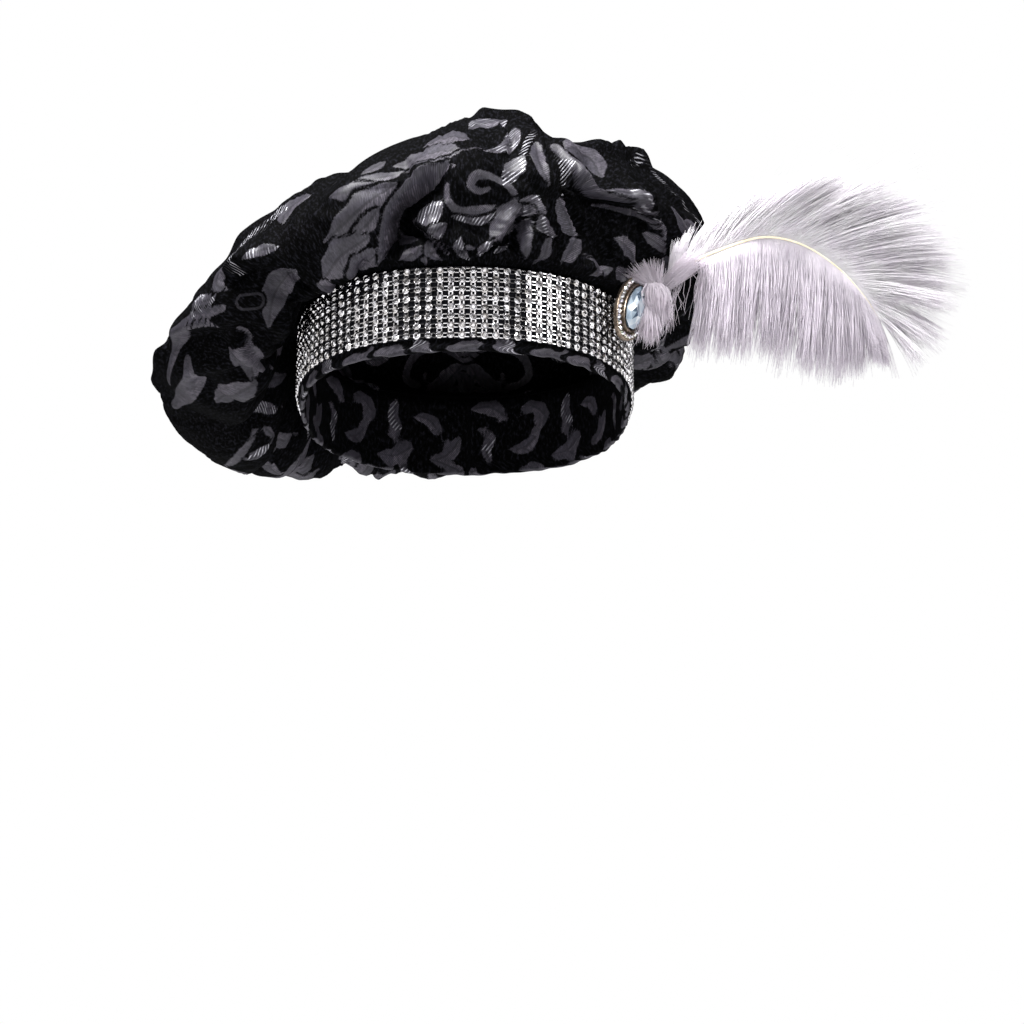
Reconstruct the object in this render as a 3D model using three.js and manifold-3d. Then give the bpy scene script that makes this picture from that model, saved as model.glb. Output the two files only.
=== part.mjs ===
// Tudor bonnet: a soft brocade crown gathered onto a headband, with a rhinestone-mesh trim round the band
// and an ostrich plume held behind an oval brooch at the wearer's left temple.
// Millimetres, +Z up. The origin is the middle of the head opening, in the plane of the band's lower edge.
// -Y is the front, +X the wearer's left. Azimuths are degrees from the front towards the wearer's left.
import * as THREE from "three";
import { mergeVertices } from "three/addons/utils/BufferGeometryUtils.js";
import Module from "manifold-3d";

const wasm = await Module();
wasm.setup();

// Driving dimensions
const HEAD_HALF_WIDTH = 79.6;
const HEAD_HALF_LENGTH = 99.6;
const HEAD_SQUARENESS = 2.35; // exponent of the head's oval: 2 is an ellipse, more is squarer
const GAP = 0.3; // between pieces that are sewn or glued together

const BAND_HEIGHT = 42;
const BAND_WALL = 2.4;
const BAND_HEM_ROUND = 0.9;

const TRIM_BOTTOM = 5.5;
const TRIM_ROWS = 8;
const TRIM_ROW_PITCH = 4.5;
const TRIM_NET = 1.0; // thickness of the net under the stones
const TRIM_STONE_RISE = 1.3;

const CLOTH = 1.4;
const SEAM_HEIGHT = BAND_HEIGHT + GAP;
const APEX = new THREE.Vector3(8, 4, 131);
const GATHERS = 18;
const GATHER_DEPTH = 4.2;

const ROLL_OUT = 8.5; // where the cloth rolls over the trim's top edge, out from the head and up from the seam
const ROLL_UP = 4.5;
const RING_STEPS = 48; // points round the band and the trim
const CROWN_STEPS = 90; // points round the crown
const SPAN_STEPS = [2, 3, 4, 4, 3]; // rings of the crown from each guide line to the next

// The crown's guide lines, a row for every 30 degrees of azimuth: where the cloth turns below the band,
// where it folds at its outermost edge, and where it goes over the shoulder. Out is from the origin's axis.
const CROWN_SECTIONS = [
  { azimuth: 0, underOut: 115, underUp: 62, edgeOut: 119, edgeUp: 88, topOut: 74, topUp: 131 },
  { azimuth: 30, underOut: 106, underUp: 60, edgeOut: 112, edgeUp: 92, topOut: 74, topUp: 130 },
  { azimuth: 60, underOut: 95, underUp: 58, edgeOut: 111, edgeUp: 96, topOut: 84, topUp: 130 },
  { azimuth: 90, underOut: 103, underUp: 54, edgeOut: 121, edgeUp: 94, topOut: 95, topUp: 136 },
  { azimuth: 120, underOut: 116, underUp: 54, edgeOut: 138, edgeUp: 86, topOut: 98, topUp: 128 },
  { azimuth: 150, underOut: 124, underUp: 40, edgeOut: 149, edgeUp: 70, topOut: 100, topUp: 117 },
  { azimuth: 180, underOut: 129, underUp: 22, edgeOut: 156, edgeUp: 52, topOut: 102, topUp: 108 },
  { azimuth: 210, underOut: 129, underUp: 5, edgeOut: 160, edgeUp: 35, topOut: 104, topUp: 99 },
  { azimuth: 240, underOut: 123, underUp: -5, edgeOut: 161, edgeUp: 23, topOut: 104, topUp: 87 },
  { azimuth: 270, underOut: 116, underUp: -3, edgeOut: 157, edgeUp: 26, topOut: 102, topUp: 84 },
  { azimuth: 300, underOut: 111, underUp: 18, edgeOut: 140, edgeUp: 47, topOut: 95, topUp: 96 },
  { azimuth: 330, underOut: 112, underUp: 46, edgeOut: 125, edgeUp: 72, topOut: 79, topUp: 115 },
];

// The main folds of the crown, a row for each ridge or hollow. Along runs 0 at the seam, 1 at the roll over the
// trim, 2 at the turn below, 3 at the outer edge, 4 at the shoulder and 5 at the apex. Lean is how far the fold
// slants round the head, in degrees per unit of along.
const CROWN_FOLDS = [
  { azimuth: -36, spread: 8, rise: 8, from: 1, to: 4.4, lean: 4 },
  { azimuth: -24, spread: 7, rise: -12, from: 0.9, to: 3.6, lean: 4 },
  { azimuth: -6, spread: 9, rise: 6, from: 1, to: 4.8, lean: 2 },
  { azimuth: 9, spread: 5, rise: -6, from: 0.9, to: 3.8, lean: 1 },
  { azimuth: 19, spread: 6, rise: 7, from: 1, to: 4.8, lean: 0 },
  { azimuth: 31, spread: 5, rise: -8, from: 1, to: 4.6, lean: 2 },
  { azimuth: 41, spread: 6, rise: 5, from: 1, to: 4.5, lean: 3 },
  { azimuth: 60, spread: 10, rise: -6, from: 2, to: 4.7, lean: 0 },
  { azimuth: 78, spread: 8, rise: 5, from: 1.2, to: 4.3, lean: 2 },
  { azimuth: 105, spread: 8, rise: -7, from: 1, to: 3.9, lean: -2 },
  { azimuth: 132, spread: 10, rise: 7, from: 1.2, to: 4.4, lean: 2 },
  { azimuth: 160, spread: 9, rise: -7, from: 1, to: 4, lean: 3 },
  { azimuth: 190, spread: 11, rise: 7, from: 1.2, to: 4.3, lean: -2 },
  { azimuth: 216, spread: 8, rise: -8, from: 1, to: 4, lean: -2 },
  { azimuth: 243, spread: 10, rise: 6, from: 1.2, to: 4, lean: 2 },
  { azimuth: 264, spread: 7, rise: -7, from: 1, to: 3.7, lean: 2 },
  { azimuth: 286, spread: 8, rise: 6, from: 1.2, to: 4, lean: 4 },
  { azimuth: 304, spread: 7, rise: -8, from: 1, to: 3.6, lean: 5 },
];

// The brooch stands on the trim, turned a little to the front of the band's own normal.
const BROOCH_AT = new THREE.Vector3(81.9, -62, 35.4);
const BROOCH_FACING = 57;
const BROOCH_LEAN = 34;
const SETTING_HALF_WIDTH = 11.8;
const SETTING_HALF_HEIGHT = 20.5;
const SETTING_PLATE = 1.8;
const SETTING_BEVEL = 0.6;
const SETTING_SIDES = 24;
const STONE_HALF_WIDTH = 7;
const STONE_HALF_HEIGHT = 14.6;
const STONE_SIDES = 16;
const BEZEL_WALL = 1.1;
const BEZEL_RISE = 2.2;
const HALO_STONES = 18;
const HALO_STONE_RADIUS = 1.7;
const HALO_STONE_RISE = 1.3;
const HALO_STONE_TABLE = 0.55; // width of a small stone's table against its girdle
const HALO_STONE_FACETS = 8;
const SINK = 0.4; // how far fused metal reaches into its neighbour
const POST_RADIUS = 2.6;
const POST_LENGTH = 5.2;
const POST_SIDES = 10;

// The quill's line, from behind the brooch up and out over the wearer's left side to the drooping tip.
const QUILL_LINE = [
  [84, -46.6, 33],
  [89.3, -41.3, 40],
  [97, -45, 50],
  [110.5, -50, 62.3],
  [129, -51, 71],
  [147.5, -47, 77.9],
  [166.4, -41, 76.4],
  [185, -34, 66.6],
  [199, -27, 53.4],
  [206, -22, 44],
];
const QUILL_ROOT_RADIUS = 1.3;
const QUILL_TIP_RADIUS = 0.4;
const QUILL_SIDES = 6;
const QUILL_STEPS = 20;
const LOCK_WIDTH = 18;
const LOCK_THICKNESS = 2.6;
const LOCK_TIP_SHARE = 0.2; // least thickness of a lock's tip against its middle
const LOCK_SHAPE = [
  { part: 0, breadth: 0.62 },
  { part: 0.34, breadth: 0.95 },
  { part: 0.7, breadth: 0.76 },
  { part: 1, breadth: 0.12 },
];

// The plume's vane, a row for each station along the quill: angles are from +X towards +Z, lengths are the
// locks' own. The outer vane sweeps up and out, and the inner vane hangs.
const PLUME_STATIONS = [
  { along: 0.22, outerAngle: 72, outerLength: 21, innerAngle: -98, innerLength: 32 },
  { along: 0.33, outerAngle: 50, outerLength: 44, innerAngle: -98, innerLength: 45 },
  { along: 0.45, outerAngle: 40, outerLength: 62, innerAngle: -97, innerLength: 53 },
  { along: 0.58, outerAngle: 30, outerLength: 66, innerAngle: -96, innerLength: 58 },
  { along: 0.7, outerAngle: 17, outerLength: 62, innerAngle: -95, innerLength: 57 },
  { along: 0.82, outerAngle: 2, outerLength: 54, innerAngle: -92, innerLength: 47 },
  { along: 0.92, outerAngle: -22, outerLength: 43, innerAngle: -86, innerLength: 34 },
  { along: 1, outerAngle: -52, outerLength: 28, innerAngle: -76, innerLength: 24 },
];
const LOCKS_A_SIDE = 11;
const VANE_LEANS = [0.4, 0.05]; // how far back a lock at the tip leans for its length, turn about
const LOCK_BEND = 16; // degrees that a lock turns towards the ground along its length

// The down at the plume's root: a row for each small lock, from one root behind the brooch's rear edge.
const DOWN_ROOT = new THREE.Vector3(98.2, -52, 42.5);
const DOWN_BACK = -0.25;
const DOWN_LOCKS = [
  { angle: 118, length: 16, width: 9 },
  { angle: 84, length: 11, width: 10 },
  { angle: -18, length: 11, width: 12 },
  { angle: -62, length: 15, width: 11 },
  { angle: -92, length: 23, width: 10 },
];

// Shared helpers

const radians = THREE.MathUtils.degToRad;
const smooth = THREE.MathUtils.smoothstep;

// A point at an azimuth, a distance from the Z axis and a height.
function polar(azimuth, out, up) {
  return new THREE.Vector3(out * Math.sin(azimuth), -out * Math.cos(azimuth), up);
}

// The head's oval at an azimuth, grown by an offset.
function headRadius(azimuth, offset) {
  const across = Math.abs(Math.sin(azimuth)) / (HEAD_HALF_WIDTH + offset);
  const along = Math.abs(Math.cos(azimuth)) / (HEAD_HALF_LENGTH + offset);
  return (across ** HEAD_SQUARENESS + along ** HEAD_SQUARENESS) ** (-1 / HEAD_SQUARENESS);
}

function turn(steps) {
  return Array.from({ length: steps }, (_, i) => (i / steps) * 2 * Math.PI);
}

// A ring of points round the head at one offset and height.
function headRing(offset, up) {
  return turn(RING_STEPS).map((azimuth) => polar(azimuth, headRadius(azimuth, offset), up));
}

// Joins rings of points, all of one length, into a closed surface that faces out. The first and last rings
// are closed by a fan to their middles, unless the rings come round and the last joins the first.
function loft(rings, comesRound = false) {
  const size = rings[0].length;
  const points = rings.flat();
  const faces = [];
  const links = comesRound ? rings.length : rings.length - 1;
  for (let i = 0; i < links; i++) {
    const here = i * size;
    const next = ((i + 1) % rings.length) * size;
    for (let j = 0; j < size; j++) {
      const k = (j + 1) % size;
      faces.push(here + j, here + k, next + k, here + j, next + k, next + j);
    }
  }
  if (!comesRound) {
    for (const end of [0, rings.length - 1]) {
      const middle = rings[end].reduce((sum, p) => sum.add(p), new THREE.Vector3()).divideScalar(size);
      const hub = points.push(middle) - 1;
      for (let j = 0; j < size; j++) {
        const pair = [end * size + j, end * size + ((j + 1) % size)];
        faces.push(hub, ...(end === 0 ? pair.reverse() : pair));
      }
    }
  }
  const volume = faces.reduce((sum, _, i) => {
    if (i % 3) return sum;
    const [a, b, c] = [points[faces[i]], points[faces[i + 1]], points[faces[i + 2]]];
    return sum + a.dot(new THREE.Vector3().crossVectors(b, c));
  }, 0);
  const geometry = new THREE.BufferGeometry().setFromPoints(points);
  return geometry.setIndex(volume < 0 ? faces.reverse() : faces);
}

function solidOf(geometry) {
  const bare = geometry.clone().deleteAttribute("normal").deleteAttribute("uv");
  const merged = mergeVertices(bare, 1e-4);
  return new wasm.Manifold(
    new wasm.Mesh({
      numProp: 3,
      vertProperties: new Float32Array(merged.attributes.position.array),
      triVerts: new Uint32Array(merged.index.array),
    }),
  );
}

// Fuses several closed geometries into one.
function fuse(geometries) {
  const mesh = geometries.map(solidOf).reduce((all, one) => all.add(one)).getMesh();
  const geometry = new THREE.BufferGeometry();
  geometry.setAttribute("position", new THREE.BufferAttribute(mesh.vertProperties, mesh.numProp));
  return geometry.setIndex(new THREE.BufferAttribute(mesh.triVerts, 1));
}

// A value from a table at a place between its rows.
function between(rows, key, column, at) {
  const next = Math.max(1, rows.findIndex((row) => row[key] >= at));
  const [a, b] = [rows[next - 1], rows[next]];
  return THREE.MathUtils.mapLinear(at, a[key], b[key], a[column], b[column]);
}

function piece(name, geometry, material) {
  const mesh = new THREE.Mesh(geometry, material);
  mesh.name = name;
  return mesh;
}

// Materials

const brocade = new THREE.MeshStandardMaterial({ color: 0x24232a, roughness: 0.75, metalness: 0 });
const silverNet = new THREE.MeshStandardMaterial({ color: 0xb9babf, roughness: 0.2, metalness: 0.9 });
const settingMetal = new THREE.MeshStandardMaterial({ color: 0xa79a8c, roughness: 0.25, metalness: 0.9 });
const crystal = new THREE.MeshStandardMaterial({ color: 0xc3d3e2, roughness: 0.05, metalness: 0 });
const ostrich = new THREE.MeshStandardMaterial({ color: 0xe6e2ea, roughness: 0.9, metalness: 0 });

// Headband: a doubled strip of the brocade with a rounded lower hem.
function headband() {
  const corners = [
    { offset: BAND_HEM_ROUND, up: 0 },
    { offset: BAND_WALL - BAND_HEM_ROUND, up: 0 },
    { offset: BAND_WALL, up: BAND_HEM_ROUND },
    { offset: BAND_WALL, up: BAND_HEIGHT },
    { offset: 0, up: BAND_HEIGHT },
    { offset: 0, up: BAND_HEM_ROUND },
  ];
  return loft(corners.map(({ offset, up }) => headRing(offset, up)), true);
}

// Trim: a net strip whose rows of stones stand up as ribs.
function trim() {
  const inside = BAND_WALL + GAP;
  const net = inside + TRIM_NET;
  const top = TRIM_BOTTOM + TRIM_ROWS * TRIM_ROW_PITCH;
  const outline = [
    { offset: inside, up: top },
    { offset: inside, up: TRIM_BOTTOM },
  ];
  for (let row = 0; row < TRIM_ROWS; row++) {
    const up = TRIM_BOTTOM + row * TRIM_ROW_PITCH;
    outline.push({ offset: net, up });
    outline.push({ offset: net + TRIM_STONE_RISE, up: up + TRIM_ROW_PITCH / 2 });
  }
  outline.push({ offset: net, up: top });
  return loft(outline.map(({ offset, up }) => headRing(offset, up)), true);
}

// How far a fold lifts the cloth at an azimuth in degrees and a place along the section.
function foldLift({ azimuth, spread, rise, from, to, lean }, at, along) {
  const aside = THREE.MathUtils.euclideanModulo(at - azimuth - lean * along + 180, 360) - 180;
  const middle = (from + to) / 2;
  const fade = smooth(along, from, middle) * (1 - smooth(along, middle, to));
  return rise * fade * Math.exp(-((aside / spread) ** 2));
}

// The small gathers that the seam pulls into the cloth: deepest above the roll, gone past the outer edge.
function gatherLift(azimuth, along) {
  const fade = smooth(along, 0.7, 1.7) * (1 - smooth(along, 1.9, 3.4));
  return GATHER_DEPTH * fade * Math.sin(GATHERS * azimuth + 0.9 * Math.sin(5 * azimuth));
}

// The cloth's normal at a point of a ring, from its neighbours in the ring and the rings above and below.
function clothNormal(below, ring, above, column) {
  const left = ring[(column + CROWN_STEPS - 1) % CROWN_STEPS];
  const right = ring[(column + 1) % CROWN_STEPS];
  const up = above[column].clone().sub(below[column]);
  return right.clone().sub(left).cross(up).normalize();
}

// Moves each ring along the cloth's normal by a lift for each of its points. The first ring is the seam.
function lifted(rings, lift) {
  return rings.slice(1).map((ring, i) => {
    const above = rings[i + 2] ?? ring.map(() => APEX);
    return ring.map((point, column) =>
      point.clone().addScaledVector(clothNormal(rings[i], ring, above, column), lift(i + 1, column)),
    );
  });
}

// Crown: a round of brocade gathered into the seam. Its guide lines run round the head, each section is
// a curve over them to the apex, and the folds lift it along its own normal.
function crown() {
  const azimuths = turn(CROWN_STEPS);
  const seam = (aside) =>
    azimuths.map((azimuth) => polar(azimuth, headRadius(azimuth, BAND_WALL / 2 + aside), SEAM_HEIGHT));
  const roll = azimuths.map((azimuth) => polar(azimuth, headRadius(azimuth, ROLL_OUT), SEAM_HEIGHT + ROLL_UP));
  const guide = (out, up) => {
    const places = CROWN_SECTIONS.map((row) => polar(radians(row.azimuth), row[out], row[up]));
    const line = new THREE.CatmullRomCurve3(places, true);
    return azimuths.map((azimuth) => line.getPoint(azimuth / (2 * Math.PI)));
  };
  const top = guide("topOut", "topUp");
  const lines = [seam(CLOTH / 2), roll, guide("underOut", "underUp"), guide("edgeOut", "edgeUp"), top];
  const sections = azimuths.map((_, column) => {
    const across = top[(column + CROWN_STEPS / 2) % CROWN_STEPS];
    return new THREE.CatmullRomCurve3([...lines.map((line) => line[column]), APEX, across]);
  });
  const spans = SPAN_STEPS.length;
  const alongs = SPAN_STEPS.flatMap((steps, span) =>
    Array.from({ length: steps }, (_, i) => span + i / steps),
  );
  const plain = alongs.map((along) => sections.map((section) => section.getPoint(along / (spans + 1))));
  const outer = lifted(plain, (ring, column) => {
    const degrees = THREE.MathUtils.radToDeg(azimuths[column]);
    const folds = CROWN_FOLDS.reduce((sum, fold) => sum + foldLift(fold, degrees, alongs[ring]), 0);
    return folds + gatherLift(azimuths[column], alongs[ring]);
  });
  const inner = lifted([seam(CLOTH / 2), ...outer], () => -CLOTH);
  return loft([...outer.toReversed(), seam(CLOTH / 2), seam(-CLOTH / 2), ...inner]);
}

// An oval ring of points in the brooch's own frame, whose +Z is out of its face and +Y its long way.
function ovalRing(halfWidth, halfHeight, up, sides, shift = 0) {
  return turn(sides).map((angle) => {
    const at = angle + (shift * Math.PI) / sides;
    return new THREE.Vector3(halfWidth * Math.cos(at), halfHeight * Math.sin(at), up);
  });
}

// A straight or tapered rod along Z, from one height to another.
function rod(topRadius, bottomRadius, from, to, sides) {
  return new THREE.CylinderGeometry(topRadius, bottomRadius, to - from, sides)
    .rotateX(Math.PI / 2)
    .translate(0, 0, (from + to) / 2);
}

// Setting: a cast plate with a bezel round the main stone, a halo of small stones and a plain post behind.
function broochSetting() {
  const seat = STONE_HALF_WIDTH + GAP;
  const seatHeight = STONE_HALF_HEIGHT + GAP;
  const oval = (inset, up) =>
    ovalRing(SETTING_HALF_WIDTH - inset, SETTING_HALF_HEIGHT - inset, up, SETTING_SIDES);
  const bezel = (grow, up) => ovalRing(seat + grow, seatHeight + grow, up, SETTING_SIDES);
  const plate = loft([
    oval(SETTING_BEVEL, -SETTING_PLATE),
    oval(0, SETTING_BEVEL - SETTING_PLATE),
    oval(0, -SETTING_BEVEL),
    oval(SETTING_BEVEL, 0),
  ]);
  const wall = loft(
    [
      bezel(0, -SINK),
      bezel(BEZEL_WALL, -SINK),
      bezel(BEZEL_WALL, BEZEL_RISE - SETTING_BEVEL),
      bezel(0, BEZEL_RISE),
    ],
    true,
  );
  const haloWidth = (seat + BEZEL_WALL + SETTING_HALF_WIDTH) / 2;
  const haloHeight = (seatHeight + BEZEL_WALL + SETTING_HALF_HEIGHT) / 2;
  const table = HALO_STONE_RADIUS * HALO_STONE_TABLE;
  const halo = turn(HALO_STONES).map((angle) => {
    const stone = rod(table, HALO_STONE_RADIUS, -SINK, HALO_STONE_RISE, HALO_STONE_FACETS);
    return stone.translate(haloWidth * Math.cos(angle), haloHeight * Math.sin(angle), 0);
  });
  const post = rod(POST_RADIUS, POST_RADIUS, -SETTING_PLATE - POST_LENGTH, -SETTING_PLATE + SINK, POST_SIDES);
  return fuse([plate, wall, ...halo, post]);
}

// Main stone: an oval brilliant with a table, two rows of crown facets, a thin girdle and a shallow back.
function broochStone() {
  const cut = [
    { size: 0.2, up: 0.4, shift: 0 },
    { size: 1, up: 2.3, shift: 0 },
    { size: 1, up: 2.7, shift: 0 },
    { size: 0.86, up: 4.2, shift: 1 },
    { size: 0.56, up: 5.4, shift: 2 },
  ];
  return loft(
    cut.map(({ size, up, shift }) =>
      ovalRing(STONE_HALF_WIDTH * size, STONE_HALF_HEIGHT * size, up, STONE_SIDES, shift),
    ),
  );
}

// A flat tapering lock along a curve, broad in the plume's own plane and thin across it.
function lock(curve, width) {
  const flat = new THREE.Vector3(0, -1, 0);
  const rings = LOCK_SHAPE.map(({ part, breadth }) => {
    const middle = curve.getPoint(part);
    const aside = curve.getTangent(part).cross(flat).setLength((width / 2) * breadth);
    const out = flat.clone().setLength((LOCK_THICKNESS / 2) * Math.max(LOCK_TIP_SHARE, breadth));
    return [aside, out, aside.clone().negate(), out.clone().negate()].map((way) => middle.clone().add(way));
  });
  return loft(rings);
}

// A lock's curve in the plume's plane: it starts at an angle and bends towards the ground.
function lockCurve(root, angle, length, bend, back) {
  const way = (degrees) => new THREE.Vector3(Math.cos(radians(degrees)), back, Math.sin(radians(degrees)));
  const knee = root.clone().addScaledVector(way(angle + bend / 2), length * 0.5);
  const tip = knee.clone().addScaledVector(way(angle - bend / 2), length * 0.5);
  return new THREE.QuadraticBezierCurve3(root, knee, tip);
}

const quillLine = new THREE.CatmullRomCurve3(QUILL_LINE.map((place) => new THREE.Vector3(...place)));

function quill() {
  const frames = quillLine.computeFrenetFrames(QUILL_STEPS);
  const rings = Array.from({ length: QUILL_STEPS + 1 }, (_, i) => {
    const part = i / QUILL_STEPS;
    const radius = THREE.MathUtils.lerp(QUILL_ROOT_RADIUS, QUILL_TIP_RADIUS, part);
    const middle = quillLine.getPointAt(part);
    return turn(QUILL_SIDES).map((angle) =>
      middle
        .clone()
        .addScaledVector(frames.normals[i], radius * Math.cos(angle))
        .addScaledVector(frames.binormals[i], radius * Math.sin(angle)),
    );
  });
  return loft(rings);
}

// Plume: the quill with both vanes as overlapping locks fused to it.
function plume() {
  const first = PLUME_STATIONS[0].along;
  const locks = [];
  for (let i = 0; i < LOCKS_A_SIDE; i++) {
    const along = THREE.MathUtils.lerp(first, 1, i / (LOCKS_A_SIDE - 1));
    const root = quillLine.getPointAt(along);
    for (const side of ["outer", "inner"]) {
      const angle = between(PLUME_STATIONS, "along", side + "Angle", along);
      const length = between(PLUME_STATIONS, "along", side + "Length", along);
      const bend = side === "outer" ? LOCK_BEND : LOCK_BEND / 4;
      const back = VANE_LEANS[i % VANE_LEANS.length] * along;
      locks.push(lock(lockCurve(root, angle, length, bend, back), LOCK_WIDTH));
    }
  }
  return fuse([quill(), ...locks]);
}

function plumeDown() {
  return fuse(
    DOWN_LOCKS.map(({ angle, length, width }) =>
      lock(lockCurve(DOWN_ROOT, angle, length, LOCK_BEND, DOWN_BACK), width),
    ),
  );
}

// Assembly

const broochFace = new THREE.Group();
broochFace.rotation.set(Math.PI / 2, 0, -radians(BROOCH_LEAN));
broochFace.add(piece("brooch_setting", broochSetting(), settingMetal));
broochFace.add(piece("brooch_stone", broochStone(), crystal));

const brooch = new THREE.Group();
brooch.position.copy(BROOCH_AT);
brooch.rotation.z = radians(BROOCH_FACING);
brooch.add(broochFace);

const bonnet = new THREE.Group();
bonnet.add(piece("headband", headband(), brocade));
bonnet.add(piece("rhinestone_trim", trim(), silverNet));
bonnet.add(piece("crown", crown(), brocade));
bonnet.add(brooch);
bonnet.add(piece("ostrich_plume", plume(), ostrich));
bonnet.add(piece("plume_down", plumeDown(), ostrich));

export default bonnet;
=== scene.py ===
import math

import bpy
import numpy as np
from mathutils import Matrix, Vector


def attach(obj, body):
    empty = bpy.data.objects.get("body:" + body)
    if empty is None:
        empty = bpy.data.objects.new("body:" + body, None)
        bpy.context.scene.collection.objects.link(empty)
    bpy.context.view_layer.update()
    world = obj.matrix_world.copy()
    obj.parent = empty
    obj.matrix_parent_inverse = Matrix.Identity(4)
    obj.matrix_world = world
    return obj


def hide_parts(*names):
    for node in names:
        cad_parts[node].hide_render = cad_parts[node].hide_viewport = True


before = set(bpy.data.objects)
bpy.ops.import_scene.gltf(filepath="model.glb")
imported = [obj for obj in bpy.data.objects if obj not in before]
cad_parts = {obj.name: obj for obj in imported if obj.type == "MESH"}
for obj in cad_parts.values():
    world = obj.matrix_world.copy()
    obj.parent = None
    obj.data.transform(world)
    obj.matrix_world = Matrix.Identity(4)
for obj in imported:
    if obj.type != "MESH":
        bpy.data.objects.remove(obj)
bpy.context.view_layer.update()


# HEADBAND
# A strip of the brocade folded double and sewn into a ring, with the fold as its lower edge. The fold is only
# pressed by hand, so it is round and a little uneven, and a narrow strip of it shows below the trim.
# Sizes are millimetres in the part's frame. An azimuth is degrees from the front to the wearer's left.

MM = 0.001
HEAD_HALF_WIDTH, HEAD_HALF_LENGTH, HEAD_SQUARENESS = 79.6, 99.6, 2.35
BAND_HEIGHT = 42.0
BAND_WALL = 2.4
BAND_COLUMNS = 360
BAND_FOLD_WOBBLE = 0.45


def head_radius(azimuth, offset):
    """The head's oval at an azimuth in degrees, grown by an offset."""
    turn = np.radians(azimuth)
    across = np.abs(np.sin(turn)) / (HEAD_HALF_WIDTH + offset)
    along = np.abs(np.cos(turn)) / (HEAD_HALF_LENGTH + offset)
    return (across**HEAD_SQUARENESS + along**HEAD_SQUARENESS) ** (-1 / HEAD_SQUARENESS)


def polar(azimuth, out, up):
    turn = np.radians(azimuth)
    return np.stack(np.broadcast_arrays(out * np.sin(turn), -out * np.cos(turn), up), axis=-1)


def ring_faces(rows, columns, close=False):
    """Quads of a grid of rings, each ring joined to the next, and the last to the first if they close."""
    row = np.arange(rows if close else rows - 1)[:, None]
    here = np.arange(columns)[None, :]
    beside = (here + 1) % columns
    above = (row + 1) % rows * columns
    corners = [row * columns + here, row * columns + beside, above + beside, above + here]
    return np.stack(corners, axis=-1).reshape(-1, 4)


def mesh_piece(name, places, faces, smooth=True):
    """A new mesh object from places in millimetres."""
    mesh = bpy.data.meshes.new(name)
    mesh.from_pydata((np.reshape(places, (-1, 3)) * MM).tolist(), [], [list(face) for face in faces])
    if smooth:
        mesh.shade_smooth()
    piece = bpy.data.objects.new(name, mesh)
    bpy.context.scene.collection.objects.link(piece)
    return piece


def lay_flat(piece, flat):
    """Gives each vertex its place on the flat cloth, in millimetres, as the UV map that the weave reads."""
    corners = np.empty(len(piece.data.loops), np.int32)
    piece.data.loops.foreach_get("vertex_index", corners)
    layer = piece.data.uv_layers.new(name="cloth")
    layer.data.foreach_set("uv", flat.reshape(-1, 2)[corners].astype(np.float32).ravel())


def give(piece, name, values):
    """Stores a value for each vertex, for the material to read."""
    store = piece.data.attributes.new(name, "FLOAT", "POINT")
    store.data.foreach_set("value", np.asarray(values, np.float32).ravel())


def ripple(azimuth, counts, seed):
    """A smooth unevenness round the head, between about -1 and 1, from whole numbers of waves."""
    phases = np.random.default_rng(seed).uniform(0, 2 * np.pi, len(counts))
    waves = [np.sin(np.radians(azimuth) * count + phase) for count, phase in zip(counts, phases)]
    return sum(waves) / math.sqrt(len(counts))


def smooth(low, high, value):
    part = np.clip((value - low) / (high - low), 0, 1)
    return part * part * (3 - 2 * part)


def spline(points, at):
    """The smooth curve through points, at places counted in points from the first."""
    points = np.asarray(points, float)
    ends = [2 * points[0] - points[1]], points, [2 * points[-1] - points[-2]]
    points = np.concatenate(ends)
    at = np.asarray(at, float)
    first = np.clip(np.floor(at).astype(int), 0, len(points) - 4)
    part = (at - first).reshape(at.shape + (1,) * (points.ndim - 1))
    a, b, c, d = (points[first + step] for step in range(4))
    pairs = ((a, b), (b, c), (c, d))
    gaps = [np.sqrt(np.maximum(np.linalg.norm(q - p, axis=-1, keepdims=True), 1e-6)) for p, q in pairs]
    leave = ((b - a) / gaps[0] - (c - a) / (gaps[0] + gaps[1]) + (c - b) / gaps[1]) * gaps[1]
    arrive = ((c - b) / gaps[1] - (d - b) / (gaps[1] + gaps[2]) + (d - c) / gaps[2]) * gaps[1]
    bend = -3 * b + 3 * c - 2 * leave - arrive
    twist = 2 * b - 2 * c + leave + arrive
    return b + part * (leave + part * (bend + part * twist))


FAR = 12.0  # millimetres: past this a place counts as plain ground
OUTLINE = 1.5  # millimetres of ground left round a leaf where it lies over another


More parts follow.
